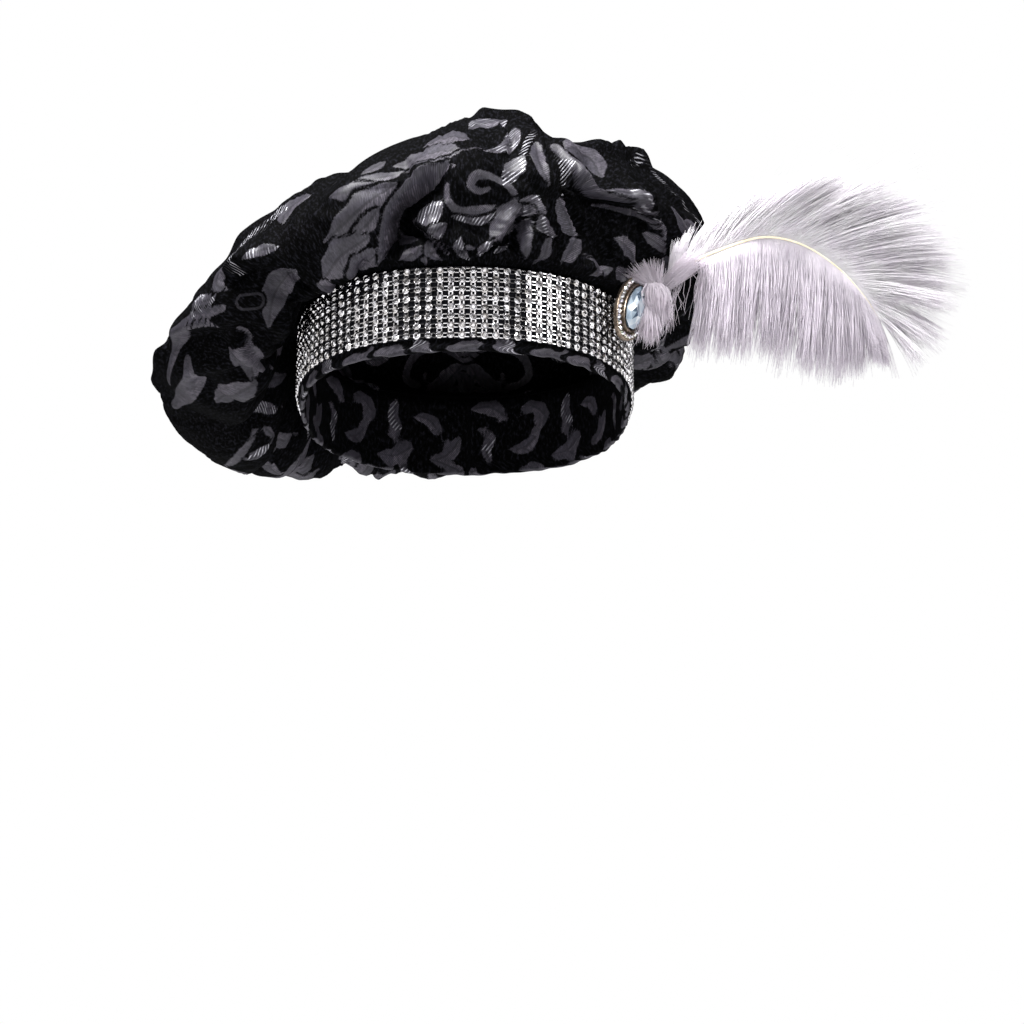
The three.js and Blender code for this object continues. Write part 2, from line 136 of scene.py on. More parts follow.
def woven(places, facing, strokes):
    """The woven figure at each place: how far it is outside the nearest leaf or scroll, how far to either side
    of that one's middle rib, and how far outside the nearest bright part and the nearest eye's ring."""
    leaf, rib, bright, ring = (np.full(len(places), FAR) for _ in range(4))
    for stroke in strokes:
        line = spline(stroke["line"], np.linspace(0, len(stroke["line"]) - 1, 29))
        reach = FAR + stroke["width"]
        inside = np.all((places > line.min(0) - reach) & (places < line.max(0) + reach), axis=1)
        near = np.flatnonzero(inside)
        if not len(near):
            continue
        start, run = line[:-1], np.diff(line, axis=0)
        lengths = np.linalg.norm(run, axis=1)
        ahead = places[near][:, None, :] - start
        share = np.clip((ahead * run).sum(-1) / np.maximum(lengths**2, 1e-9), 0, 1)
        apart = np.linalg.norm(ahead - share[..., None] * run, axis=-1)
        nearest = apart.argmin(1)
        pick = np.arange(len(near))
        away = apart[pick, nearest]
        behind = np.concatenate([[0], np.cumsum(lengths)])
        at = (behind[nearest] + share[pick, nearest] * lengths[nearest]) / behind[-1]
        half = stroke["width"] / 2
        if stroke["form"] == "eye":
            ring[near] = np.where(np.abs(away - half) < np.abs(ring[near]), away - half, ring[near])
            leaf[near] = np.maximum(leaf[near], OUTLINE - away + half)
            continue
        if stroke["form"] == "leaf":
            belly = np.sin(np.pi * np.clip(at, 0.02, 0.98) ** 0.8) ** 0.7
            outside = away - half * belly * (1 + 0.1 * np.sin(19 * at))
        elif stroke["form"] == "scroll":
            outside = away - half * (0.5 + 0.5 * np.sin(np.pi * at))
        else:
            outside = away - half
        if stroke["bright"]:
            bright[near] = np.minimum(bright[near], outside)
        if stroke["form"] != "thread":
            leaf[near] = np.maximum(leaf[near], OUTLINE - outside)
            closer = outside < leaf[near]
            leaf[near] = np.where(closer, outside, leaf[near])
            turn = np.cross(run[nearest], ahead[pick, nearest])
            side = np.where((turn * facing[near]).sum(-1) < 0, -1.0, 1.0)
            rib[near] = np.where(closer, side * away if stroke["form"] == "leaf" else side * FAR, rib[near])
    return {"leaf": leaf, "rib": rib, "bright": bright, "ring": ring}


# The fold's profile, from the inside top down, round the fold and up the outside.
inside = [(0.0, up) for up in np.linspace(BAND_HEIGHT, 1.6, 8)]
fold_turns = np.linspace(0.25, math.pi - 0.25, 7)
fold = [(BAND_WALL / 2 * (1 - math.cos(a)), 1.2 * (1 - math.sin(a))) for a in fold_turns]
outside = [(BAND_WALL, up) for up in (1.6, 2.4, 3.2, 4.0, 4.8, 5.6, 7, 10, 16, 24, 33, BAND_HEIGHT)]
profile = np.array(inside + fold + outside)
azimuths = -180 + np.arange(BAND_COLUMNS) * 360 / BAND_COLUMNS
loose = 1 - smooth(2.0, 5.0, profile[:, 1])
wobble = BAND_FOLD_WOBBLE * ripple(azimuths, (7, 13, 22, 37, 61), 3)
pucker = 0.22 * ripple(azimuths, (41, 67, 90), 4)
offsets = profile[:, 0, None] + loose[:, None] * pucker
ups = profile[:, 1, None] + loose[:, None] * wobble
places = polar(azimuths, head_radius(azimuths, offsets), ups)
headband = mesh_piece("headband_brocade", places, ring_faces(len(profile), BAND_COLUMNS, close=True))
steps = np.linalg.norm(np.diff(places, axis=1, append=places[:, :1]), axis=-1)
run = np.cumsum(steps, axis=1) - steps[:, :1]
rise = np.concatenate([[0], np.cumsum(np.linalg.norm(np.diff(profile, axis=0), axis=1))])
flat = np.stack([run, np.broadcast_to(rise[:, None], run.shape)], axis=-1)
lay_flat(headband, flat)

# The figure along the strip: one short repeat, again and again round the band.
BAND_REPEAT = 97.0
BAND_FIGURE = [
    {"form": "leaf", "width": 9, "bright": False, "line": [(2, 39), (10, 44), (20, 46)]},
    {"form": "leaf", "width": 7, "bright": True, "line": [(24, 50), (31, 45), (37, 40)]},
    {"form": "scroll", "width": 5, "bright": False, "line": [(42, 41), (49, 45), (57, 44), (60, 48)]},
    {"form": "leaf", "width": 10, "bright": False, "line": [(62, 38), (70, 43), (80, 45)]},
    {"form": "leaf", "width": 6, "bright": True, "line": [(82, 49), (88, 45), (94, 43)]},
    {"form": "scroll", "width": 3, "bright": False, "line": [(0, 20), (24, 27), (48, 20), (72, 13), (97, 20)]},
    {"form": "leaf", "width": 8, "bright": False, "line": [(4, 22), (10, 31), (21, 36)]},
    {"form": "leaf", "width": 7, "bright": False, "line": [(14, 22), (20, 13), (31, 10)]},
    {"form": "leaf", "width": 9, "bright": False, "line": [(30, 28), (39, 34), (50, 35)]},
    {"form": "leaf", "width": 7, "bright": True, "line": [(36, 22), (41, 12), (38, 2)]},
    {"form": "leaf", "width": 8, "bright": False, "line": [(52, 16), (58, 8), (69, 4)]},
    {"form": "leaf", "width": 7, "bright": False, "line": [(58, 21), (65, 28), (76, 30)]},
    {"form": "leaf", "width": 9, "bright": False, "line": [(76, 11), (85, 5), (95, 6)]},
    {"form": "leaf", "width": 6, "bright": True, "line": [(82, 19), (87, 29), (84, 37)]},
    {"form": "scroll", "width": 3, "bright": False, "line": [(0, 66), (24, 73), (48, 66), (72, 59), (97, 66)]},
    {"form": "leaf", "width": 8, "bright": False, "line": [(6, 68), (12, 77), (23, 82)]},
    {"form": "leaf", "width": 8, "bright": False, "line": [(32, 70), (41, 62), (52, 60)]},
    {"form": "leaf", "width": 8, "bright": False, "line": [(54, 66), (62, 74), (74, 76)]},
]
repeats = [
    {**stroke, "line": [(x + BAND_REPEAT * count, y, 0) for x, y in stroke["line"]]}
    for stroke in BAND_FIGURE
    for count in range(7)
]
strip = np.concatenate([flat.reshape(-1, 2), np.zeros((flat[..., 0].size, 1))], axis=1)
upright = np.broadcast_to((0.0, 0.0, 1.0), strip.shape)
for name, values in woven(strip, upright, repeats).items():
    give(headband, name, values)


def linear(code, alpha=1.0):
    """A colour from its sRGB hex code, as the shader wants it."""
    parts = [int(code[i : i + 2], 16) / 255 for i in (1, 3, 5)]
    return [p / 12.92 if p <= 0.04045 else ((p + 0.055) / 1.055) ** 2.4 for p in parts] + [alpha]


def add(tree, kind, inputs=None, **settings):
    """A new shader node, with its settings, and its inputs set to values or linked from sockets."""
    node = tree.nodes.new("ShaderNode" + kind)
    for key, value in settings.items():
        setattr(node, key, value)
    for key, value in (inputs or {}).items():
        if isinstance(value, bpy.types.NodeSocket):
            tree.links.new(value, node.inputs[key])
        else:
            node.inputs[key].default_value = value
    return node


def new_material(name):
    material = bpy.data.materials.new(name)
    material.use_nodes = True
    material.node_tree.nodes.clear()
    return material, material.node_tree


def ramp(tree, value, low, high, to_low=0.0, to_high=1.0):
    """A value carried from one range to another and held at its ends."""
    limits = {"Value": value, "From Min": low, "From Max": high, "To Min": to_low, "To Max": to_high}
    return add(tree, "MapRange", limits).outputs["Result"]


def blend(tree, share, first, second):
    """A mix of two colours or values of colour sockets."""
    mix = add(tree, "Mix", data_type="RGBA")
    for socket, value in ((mix.inputs[0], share), (mix.inputs[6], first), (mix.inputs[7], second)):
        if isinstance(value, bpy.types.NodeSocket):
            tree.links.new(value, socket)
        else:
            socket.default_value = value
    return mix.outputs[2]


def sums(tree, operation, first, second):
    return add(tree, "Math", {0: first, 1: second}, operation=operation).outputs[0]


# Brocade: a black crepe ground with grey satin leaves, and some parts crossed with bright diagonal threads.
BRIGHT_THREAD_PITCH = 1.8
SATIN_THREAD_PITCH = 0.8
WAVE_UNIT = 2 * math.pi / 20  # a wave texture of scale 1 repeats after this length
brocade, tree = new_material("black_and_grey_brocade")
cloth = add(tree, "UVMap", uv_map="cloth").outputs["UV"]
turned = add(tree, "Mapping", {"Vector": cloth, "Rotation": (0, 0, math.radians(38))}).outputs["Vector"]
marks = ("leaf", "rib", "bright", "ring")
figure = {name: add(tree, "Attribute", attribute_name=name).outputs["Fac"] for name in marks}
fray = add(tree, "TexNoise", {"Vector": turned, "Scale": 1.1, "Detail": 2.0}).outputs["Fac"]
ragged = sums(tree, "ADD", figure["leaf"], ramp(tree, fray, 0.2, 0.8, -0.45, 0.45))
ring_share = ramp(tree, sums(tree, "ABSOLUTE", figure["ring"], 0.0), 0.8, 0.4, 0.0, 0.35)
leaf_share = sums(tree, "MAXIMUM", ramp(tree, ragged, 0.3, -0.3), ring_share)
rib_share = ramp(tree, sums(tree, "ABSOLUTE", figure["rib"], 0.0), 0.3, 0.8)
# The side of each leaf's rib picks its painted sheen: one half lighter, the other darker.
painted_sheen_share = ramp(tree, figure["rib"], -0.5, 0.5)
frayed = sums(tree, "ADD", figure["bright"], ramp(tree, fray, 0.2, 0.8, -0.6, 0.6))
bright_share = ramp(tree, frayed, 0.2, -0.4)
thread_scale = WAVE_UNIT / BRIGHT_THREAD_PITCH
threads = add(tree, "TexWave", {"Vector": turned, "Scale": thread_scale, "Distortion": 0.6})
stripe = ramp(tree, threads.outputs["Fac"], 0.66, 0.86)
patches = add(tree, "TexNoise", {"Vector": cloth, "Scale": 0.045, "Detail": 3.0}).outputs["Fac"]
floats = add(tree, "TexNoise", {"Vector": turned, "Scale": 0.12, "Detail": 1.0}).outputs["Fac"]
silver_share = sums(tree, "MULTIPLY", bright_share, stripe)
silver_share = sums(tree, "MULTIPLY", silver_share, ramp(tree, floats, 0.46, 0.56, 0.05, 1.0))
pebbled = add(tree, "Mapping", {"Vector": cloth, "Scale": (1.0, 0.45, 1.0)}).outputs["Vector"]
crepe_node = add(tree, "TexNoise", {"Vector": pebbled, "Scale": 0.7, "Detail": 4.0, "Roughness": 0.7})
crepe = crepe_node.outputs["Fac"]
drawn = add(tree, "Mapping", {"Vector": turned, "Scale": (1.0, 0.1, 1.0)}).outputs["Vector"]
streaks = add(tree, "TexNoise", {"Vector": drawn, "Scale": 0.9, "Detail": 3.0}).outputs["Fac"]
satin_scale = WAVE_UNIT / SATIN_THREAD_PITCH
satin_node = add(tree, "TexWave", {"Vector": turned, "Scale": satin_scale, "Distortion": 1.5})
satin = satin_node.outputs["Fac"]
ground_colour = blend(tree, ramp(tree, crepe, 0.5, 0.68), linear("#010101"), linear("#17171c"))
# Painted sheen and shade: one half of each leaf is coloured lighter and the other darker, standing in for light
# catching satin threads that run two ways.
painted_sheen_half = blend(tree, ramp(tree, patches, 0.35, 0.65), linear("#37343b"), linear("#645f69"))
painted_shade_half = blend(tree, ramp(tree, patches, 0.35, 0.65), linear("#2b292f"), linear("#494650"))
satin_and_sheen_colour = blend(tree, painted_sheen_share, painted_shade_half, painted_sheen_half)
satin_and_sheen_colour = blend(tree, ramp(tree, satin, 0.1, 0.6), linear("#2a282e"), satin_and_sheen_colour)
satin_and_sheen_colour = blend(tree, ramp(tree, streaks, 0.42, 0.62, 0.0, 0.75), satin_and_sheen_colour, linear("#302e35"))
mottle_node = add(tree, "TexNoise", {"Vector": pebbled, "Scale": 0.62, "Detail": 4.0, "Roughness": 0.72})
mottle = mottle_node.outputs["Fac"]
satin_and_sheen_colour = blend(tree, ramp(tree, mottle, 0.44, 0.62, 0.0, 0.7), satin_and_sheen_colour, linear("#1b1a1f"))
satin_and_sheen_colour = blend(tree, ramp(tree, rib_share, 0.0, 1.0, 0.45, 1.0), linear("#121116"), satin_and_sheen_colour)
height = sums(tree, "MULTIPLY", leaf_share, 0.3)
height = sums(tree, "ADD", height, sums(tree, "MULTIPLY", silver_share, 0.25))
height = sums(tree, "ADD", height, ramp(tree, satin, 0.0, 1.0, 0.0, 0.05))
height = sums(tree, "ADD", height, sums(tree, "MULTIPLY", crepe, ramp(tree, leaf_share, 0, 1, 0.35, 0.08)))
relief = add(tree, "Bump", {"Height": height, "Strength": 0.8, "Distance": MM}).outputs["Normal"]
crepe_weave = {"Base Color": ground_colour, "Roughness": 0.75, "Specular IOR Level": 0.02, "Normal": relief}
satin_weave = {"Base Color": satin_and_sheen_colour, "Roughness": 0.46, "Specular IOR Level": 0.2, "Normal": relief}
bright_weave = {"Base Color": linear("#9c9ba2"), "Roughness": 0.36, "Metallic": 0.6, "Normal": relief}
weaves = [add(tree, "BsdfPrincipled", weave).outputs[0] for weave in (crepe_weave, satin_weave, bright_weave)]
surface = add(tree, "MixShader", {0: leaf_share, 1: weaves[0], 2: weaves[1]}).outputs[0]
surface = add(tree, "MixShader", {0: silver_share, 1: surface, 2: weaves[2]}).outputs[0]
add(tree, "OutputMaterial", {"Surface": surface})

headband.data.materials.append(brocade)
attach(headband, "root")
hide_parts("headband")


# CROWN
# One large round of the same brocade, drawn up with a gathering thread and sewn to the band's top edge. Its
# fullness falls over the band: it droops low at the wearer's right and stands up in soft folds at the front.

CLOTH = 1.2
SEAM_UP = BAND_HEIGHT + 0.3
ROLL_OUT, ROLL_UP = 8.5, 4.5
APEX = (8.0, 4.0, 131.0)
CROWN_FRONT = (-130, 95)  # azimuths between which the cloth is worked more finely
FRONT_COLUMNS, REAR_COLUMNS = 256, 94
CROWN_COLUMNS = FRONT_COLUMNS + REAR_COLUMNS
CROWN_ROWS = {"seam": 6, "roll": 16, "under": 24, "edge": 42, "shoulder": 34}

# Where the cloth turns below, where it folds at its outer edge and where it goes over the shoulder.
CROWN_SECTIONS = [
    {"azimuth": 0, "under": (115, 62), "edge": (119, 88), "shoulder": (74, 131)},
    {"azimuth": 30, "under": (106, 60), "edge": (112, 92), "shoulder": (74, 130)},
    {"azimuth": 60, "under": (95, 58), "edge": (111, 96), "shoulder": (84, 130)},
    {"azimuth": 90, "under": (103, 54), "edge": (121, 94), "shoulder": (95, 136)},
    {"azimuth": 120, "under": (116, 54), "edge": (138, 86), "shoulder": (98, 128)},
    {"azimuth": 150, "under": (124, 40), "edge": (149, 70), "shoulder": (100, 117)},
    {"azimuth": 180, "under": (129, 22), "edge": (156, 52), "shoulder": (102, 108)},
    {"azimuth": 210, "under": (129, 5), "edge": (160, 35), "shoulder": (104, 99)},
    {"azimuth": 240, "under": (123, -5), "edge": (161, 23), "shoulder": (104, 87)},
    {"azimuth": 270, "under": (116, -3), "edge": (157, 26), "shoulder": (102, 84)},
    {"azimuth": 300, "under": (111, 18), "edge": (140, 47), "shoulder": (95, 96)},
    {"azimuth": 330, "under": (112, 46), "edge": (125, 72), "shoulder": (79, 115)},
]

# The broad folds: each is a ridge or hollow that slants round the head as it goes up.
CROWN_FOLDS = [
    {"azimuth": -36, "spread": 8, "rise": 8, "from": 1, "to": 4.4, "lean": 4},
    {"azimuth": -24, "spread": 7, "rise": -12, "from": 0.9, "to": 3.6, "lean": 4},
    {"azimuth": -6, "spread": 9, "rise": 6, "from": 1, "to": 4.8, "lean": 2},
    {"azimuth": 9, "spread": 5, "rise": -6, "from": 0.9, "to": 3.8, "lean": 1},
    {"azimuth": 19, "spread": 6, "rise": 7, "from": 1, "to": 4.8, "lean": 0},
    {"azimuth": 31, "spread": 5, "rise": -8, "from": 1, "to": 4.6, "lean": 2},
    {"azimuth": 41, "spread": 6, "rise": 5, "from": 1, "to": 4.5, "lean": 3},
    {"azimuth": 60, "spread": 10, "rise": -6, "from": 2, "to": 4.7, "lean": 0},
    {"azimuth": 78, "spread": 8, "rise": 5, "from": 1.2, "to": 4.3, "lean": 2},
    {"azimuth": 105, "spread": 8, "rise": -7, "from": 1, "to": 3.9, "lean": -2},
    {"azimuth": 132, "spread": 10, "rise": 7, "from": 1.2, "to": 4.4, "lean": 2},
    {"azimuth": 160, "spread": 9, "rise": -7, "from": 1, "to": 4, "lean": 3},
    {"azimuth": 190, "spread": 11, "rise": 7, "from": 1.2, "to": 4.3, "lean": -2},
    {"azimuth": 216, "spread": 8, "rise": -8, "from": 1, "to": 4, "lean": -2},
    {"azimuth": 243, "spread": 10, "rise": 2, "from": 1.2, "to": 4, "lean": 2},
    {"azimuth": 264, "spread": 7, "rise": -7, "from": 1, "to": 3.7, "lean": 2},
    {"azimuth": 286, "spread": 8, "rise": 2, "from": 1.2, "to": 4, "lean": 4},
    {"azimuth": 304, "spread": 7, "rise": -8, "from": 1, "to": 3.6, "lean": 5},
]

# The sharp creases, each along a line of (azimuth, along), with its height and width on either side. The left
# side is the one on the left of someone who walks along the line on the outside of the cloth.
CROWN_CREASES = [
    {
        "line": [(-1, 3.04), (-9, 2.9), (-14.5, 2.55), (-17.5, 2.2), (-20, 1.3), (-21, 0.8)],
        "left": (-16, 11), "right": (5, 11),
    },
    {"line": [(-12, 2.2), (-7, 1.85), (-3.5, 1.5), (3, 1.1)], "left": (6, 8), "right": (-7, 7)},
    {"line": [(5, 1.0), (8, 1.4), (11, 1.7), (15.5, 2.36)], "left": (6, 7), "right": (-9, 6)},
    {
        "line": [(23, 3.77), (22, 3.02), (24, 2.7), (26, 2.5), (30.5, 2.08), (32, 1.3)],
        "left": (-14, 9), "right": (5, 7),
    },
    {
        "line": [(27.5, 3.42), (31, 2.94), (42.5, 2.79), (54.5, 2.8), (63.5, 2.59)],
        "left": (5, 7), "right": (-9, 13),
    },
    {"line": [(24, 3.4), (36, 3.6), (48, 3.76), (58, 3.85), (67, 3.9)], "left": (5, 9), "right": (5, 10)},
    {"line": [(56, 3.86), (64, 3.93), (72, 3.96), (79, 3.9)], "left": (7, 8), "right": (6, 8)},
    {
        "line": [(-34, 3.72), (-42, 3.68), (-50, 3.6), (-56, 3.49), (-62, 3.35)],
        "left": (5, 12), "right": (5, 13),
    },
    {"line": [(114, 2.4), (122, 2.28), (130, 2.18)], "left": (6, 8), "right": (6, 8)},
    {"line": [(2, 3.95), (9, 3.97), (16, 3.98), (22, 3.95), (27, 3.7)], "left": (5, 10), "right": (6, 10)},
    {"line": [(20, 3.6), (19.5, 3.2), (19, 2.7), (18, 2.2)], "left": (-4, 4), "right": (-4, 4)},
    {"line": [(12, 3.8), (13, 3.4), (11, 3.1)], "left": (-3, 5), "right": (3, 6)},
    {
        "line": [(-58, 3.06), (-51, 2.97), (-46, 2.72), (-41, 2.48), (-38, 1.7)],
        "left": (4, 10), "right": (-9, 14),
    },
    {
        "line": [(-80, 2.95), (-75.5, 2.93), (-64, 2.65), (-56, 2.4), (-52, 1.9)],
        "left": (3, 8), "right": (-6, 10),
    },
    {"line": [(-84, 2.6), (-80.5, 2.56), (-70, 2.35), (-63, 2.05)], "left": (3, 7), "right": (-5, 9)},
    {"line": [(-59, 2.68), (-61.5, 2.41), (-66, 1.93), (-72, 1.4)], "left": (-5, 7), "right": (3, 7)},
    {"line": [(-80, 3.05), (-88.5, 3.02), (-97, 2.98)], "left": (4, 4), "right": (6, 5)},
    {"line": [(-120, 2.4), (-112, 1.9), (-104, 1.5)], "left": (4, 8), "right": (-5, 9)},
    {"line": [(112, 2.0), (116, 2.6), (113, 3.2)], "left": (3, 8), "right": (-6, 9)},
    {"line": [(168, 1.6), (172, 2.4), (166, 3.2)], "left": (-6, 9), "right": (3, 8)},
    {"line": [(205, 1.8), (201, 2.6), (206, 3.4)], "left": (4, 8), "right": (-6, 10)},
]
# The gathers: pinches where the thread draws the cloth in, the fine ones merging into broader ones higher up.
CROWN_GATHERS = [
    {"pinches": 70, "depth": 2.6, "from": 0.5, "full": 1.0, "fade": 1.5, "to": 2.3, "slant": 2.0, "seed": 13},
    {"pinches": 34, "depth": 5.0, "from": 0.7, "full": 1.6, "fade": 2.0, "to": 3.0, "slant": 4.5, "seed": 15},
    {"pinches": 17, "depth": 4.0, "from": 1.4, "full": 2.2, "fade": 2.6, "to": 3.5, "slant": 5.0, "seed": 16},
]
ARC_AT_ALONG = [0, 9, 28, 58, 120, 200]  # rough length of a section from the seam to each guide line
MM_PER_DEGREE = 1.95


def closed_spline(places, azimuth):
    """The smooth ring through evenly spaced places, at azimuths in degrees."""
    ring = np.concatenate([places[-2:], places, places[:3]])
    return spline(ring, np.mod(azimuth, 360) / 360 * len(places) + 2)


def crown_surface(azimuth, along):
    """The crown without its folds, a row for each place along the section and a column for each azimuth."""
    corner = np.array([row["azimuth"] for row in CROWN_SECTIONS])
    lines = [
        polar(azimuth, head_radius(azimuth, BAND_WALL / 2 + 0.7), SEAM_UP),
        polar(azimuth, head_radius(azimuth, ROLL_OUT), SEAM_UP + ROLL_UP),
    ]
    for part in ("under", "edge", "shoulder"):
        out, up = np.array([row[part] for row in CROWN_SECTIONS], float).T
        lines.append(closed_spline(polar(corner, out, up), azimuth))
    apex = np.broadcast_to(np.array(APEX), lines[0].shape)
    out, up = np.array([row["shoulder"] for row in CROWN_SECTIONS], float).T
    across = closed_spline(polar(corner, out, up), np.asarray(azimuth) + 180)
    return spline(np.stack([*lines, apex, across]), along)


def crease_lift(line, left, right, azimuth, along):
    """How far one crease lifts the cloth: its own height and width on either side, fading out at its ends."""
    level = np.interp([place[1] for place in line], range(6), ARC_AT_ALONG)
    path = np.stack([np.array([place[0] for place in line]) * MM_PER_DEGREE, level], axis=-1)
    path = spline(path, np.linspace(0, len(path) - 1, 25))
    middle = path[:, 0].mean() / MM_PER_DEGREE
    across = (np.mod(azimuth - middle + 180, 360) - 180 + middle) * MM_PER_DEGREE
    places = np.stack([across, np.interp(along, range(6), ARC_AT_ALONG)], axis=-1)
    start, run = path[:-1], np.diff(path, axis=0)
    lengths = np.linalg.norm(run, axis=1)
    nearest, signed, at = np.full(across.shape, 1e9), np.zeros(across.shape), np.zeros(across.shape)
    behind = np.concatenate([[0], np.cumsum(lengths)])
    for i in range(len(run)):
        ahead = places - start[i]
        share = np.clip((ahead @ run[i]) / lengths[i] ** 2, 0, 1)
        apart = np.linalg.norm(ahead - share[..., None] * run[i], axis=-1)
        side = np.sign(run[i, 0] * ahead[..., 1] - run[i, 1] * ahead[..., 0])
        closer = apart < nearest
        nearest = np.where(closer, apart, nearest)
        signed = np.where(closer, side, signed)
        at = np.where(closer, (behind[i] + share * lengths[i]) / behind[-1], at)
    ends = smooth(0, 0.2, at) * (1 - smooth(0.8, 1, at))
    on_left = left[0] * np.exp(-((nearest / left[1]) ** 2))
    on_right = right[0] * np.exp(-((nearest / right[1]) ** 2))
    step = smooth(-1.6, 1.6, signed * nearest)
    return ends * (on_left * step + on_right * (1 - step))


azimuths = np.concatenate(
    [
        np.linspace(*CROWN_FRONT, FRONT_COLUMNS, endpoint=False),
        np.linspace(CROWN_FRONT[1], CROWN_FRONT[0] + 360, REAR_COLUMNS, endpoint=False),
    ]
)
alongs = np.concatenate(
    [span + np.arange(rows) / rows for span, rows in enumerate(CROWN_ROWS.values())]
)


def gathered(pinches, slant, seed):
    """Round swells between pinches at uneven spaces, each pinch running up the cloth at its own slant."""
    chance = np.random.default_rng(seed)
    start = np.cumsum(chance.uniform(0.45, 1.55, pinches))
    start *= 360 / start[-1]
    drift = chance.normal(0, slant, pinches)
    swell = chance.uniform(0.45, 1.35, pinches)
    rows = []
    for along in alongs:
        at = np.sort(np.mod(start + drift * (along - 1), 360))
        at = np.concatenate([at[-1:] - 360, at, at[:1] + 360])
        here = np.mod(azimuths, 360)
        left = np.searchsorted(at, here, side="right") - 1
        part = (here - at[left]) / np.maximum(at[left + 1] - at[left], 0.01)
        rows.append(swell[left % pinches] * np.sin(np.pi * np.clip(part, 0, 1)) ** 0.8)
    return np.array(rows)


plain = crown_surface(azimuths, alongs)
round_it, up_it = np.meshgrid(azimuths, alongs)
lift = np.zeros(round_it.shape)
for fold in CROWN_FOLDS:
    aside = np.mod(round_it - fold["azimuth"] - fold["lean"] * up_it + 180, 360) - 180
    middle = (fold["from"] + fold["to"]) / 2
    fade = smooth(fold["from"], middle, up_it) * (1 - smooth(middle, fold["to"], up_it))
    lift += fold["rise"] * fade * np.exp(-((aside / fold["spread"]) ** 2))
for crease in CROWN_CREASES:
    lift += crease_lift(**crease, azimuth=round_it, along=up_it)
for gather in CROWN_GATHERS:
    fade = smooth(gather["from"], gather["full"], up_it) * (1 - smooth(gather["fade"], gather["to"], up_it))
    lift += gather["depth"] * fade * (gathered(gather["pinches"], gather["slant"], gather["seed"]) - 0.5)
slant = round_it + 3.0 * ripple(round_it, (4, 7, 11), 12) * up_it
wrinkle = 0.5 * ripple(slant + 14 * up_it, (29, 47, 83), 14)
lift += wrinkle * smooth(1, 2, up_it) * (1 - smooth(3.4, 4.8, up_it))
along_ring = np.roll(plain, -1, axis=1) - np.roll(plain, 1, axis=1)
normals = np.cross(along_ring, np.gradient(plain, axis=0))
normals /= np.linalg.norm(normals, axis=-1, keepdims=True)
folded = plain + normals * lift[..., None]
pole = len(alongs) * CROWN_COLUMNS
last = np.arange(CROWN_COLUMNS) + pole - CROWN_COLUMNS
fan = np.stack([last, np.roll(last, -1), np.full(CROWN_COLUMNS, pole)], axis=-1)
faces = ring_faces(len(alongs), CROWN_COLUMNS).tolist() + fan.tolist()
crown = mesh_piece("crown_brocade", np.vstack([folded.reshape(-1, 3), APEX]), faces)

# The flat round: a place's distance from its middle is the cloth's own length from the apex.
to_apex = np.concatenate([plain, np.broadcast_to(APEX, (1, CROWN_COLUMNS, 3))])
steps = np.linalg.norm(np.diff(to_apex, axis=0), axis=-1)
from_apex = steps[::-1].cumsum(0)[::-1]
turn = np.radians(round_it)
flat = np.stack([from_apex * np.sin(turn), -from_apex * np.cos(turn)], axis=-1)
lay_flat(crown, np.vstack([flat.reshape(-1, 2), (0, 0)]))

# The photo's camera as it was estimated, to find where on the cloth a pixel lies.
PHOTO_FOCUS = 3200  # pixels
PHOTO_MIDDLE = (465, 512)  # pixels
PHOTO_AWAY, PHOTO_RAISE = 1600, 47.5  # millimetres from the camera to the part's origin, ahead and up
PHOTO_TILT = 16  # degrees that the camera looks up
PIXELS_PER_MM = 2.07  # in the middle of the bonnet's front
BETWEEN = 4  # parts that a step of the cloth's grid is cut into to place a stroke
SEEN_WITHIN = 6  # millimetres behind the nearest layer of cloth that still count as seen
WIDTH_LIMITS = (0.85, 2.2)  # of the width in view, for a stroke on cloth that turns away

# The two enlarged crops of the photo on which the figure was read: the crop's left and top edge in
# the photo's pixels, and how many times it was enlarged.
LEFT_CROP, MIDDLE_CROP = (150, 100, 4.02), (380, 100, 4.75)
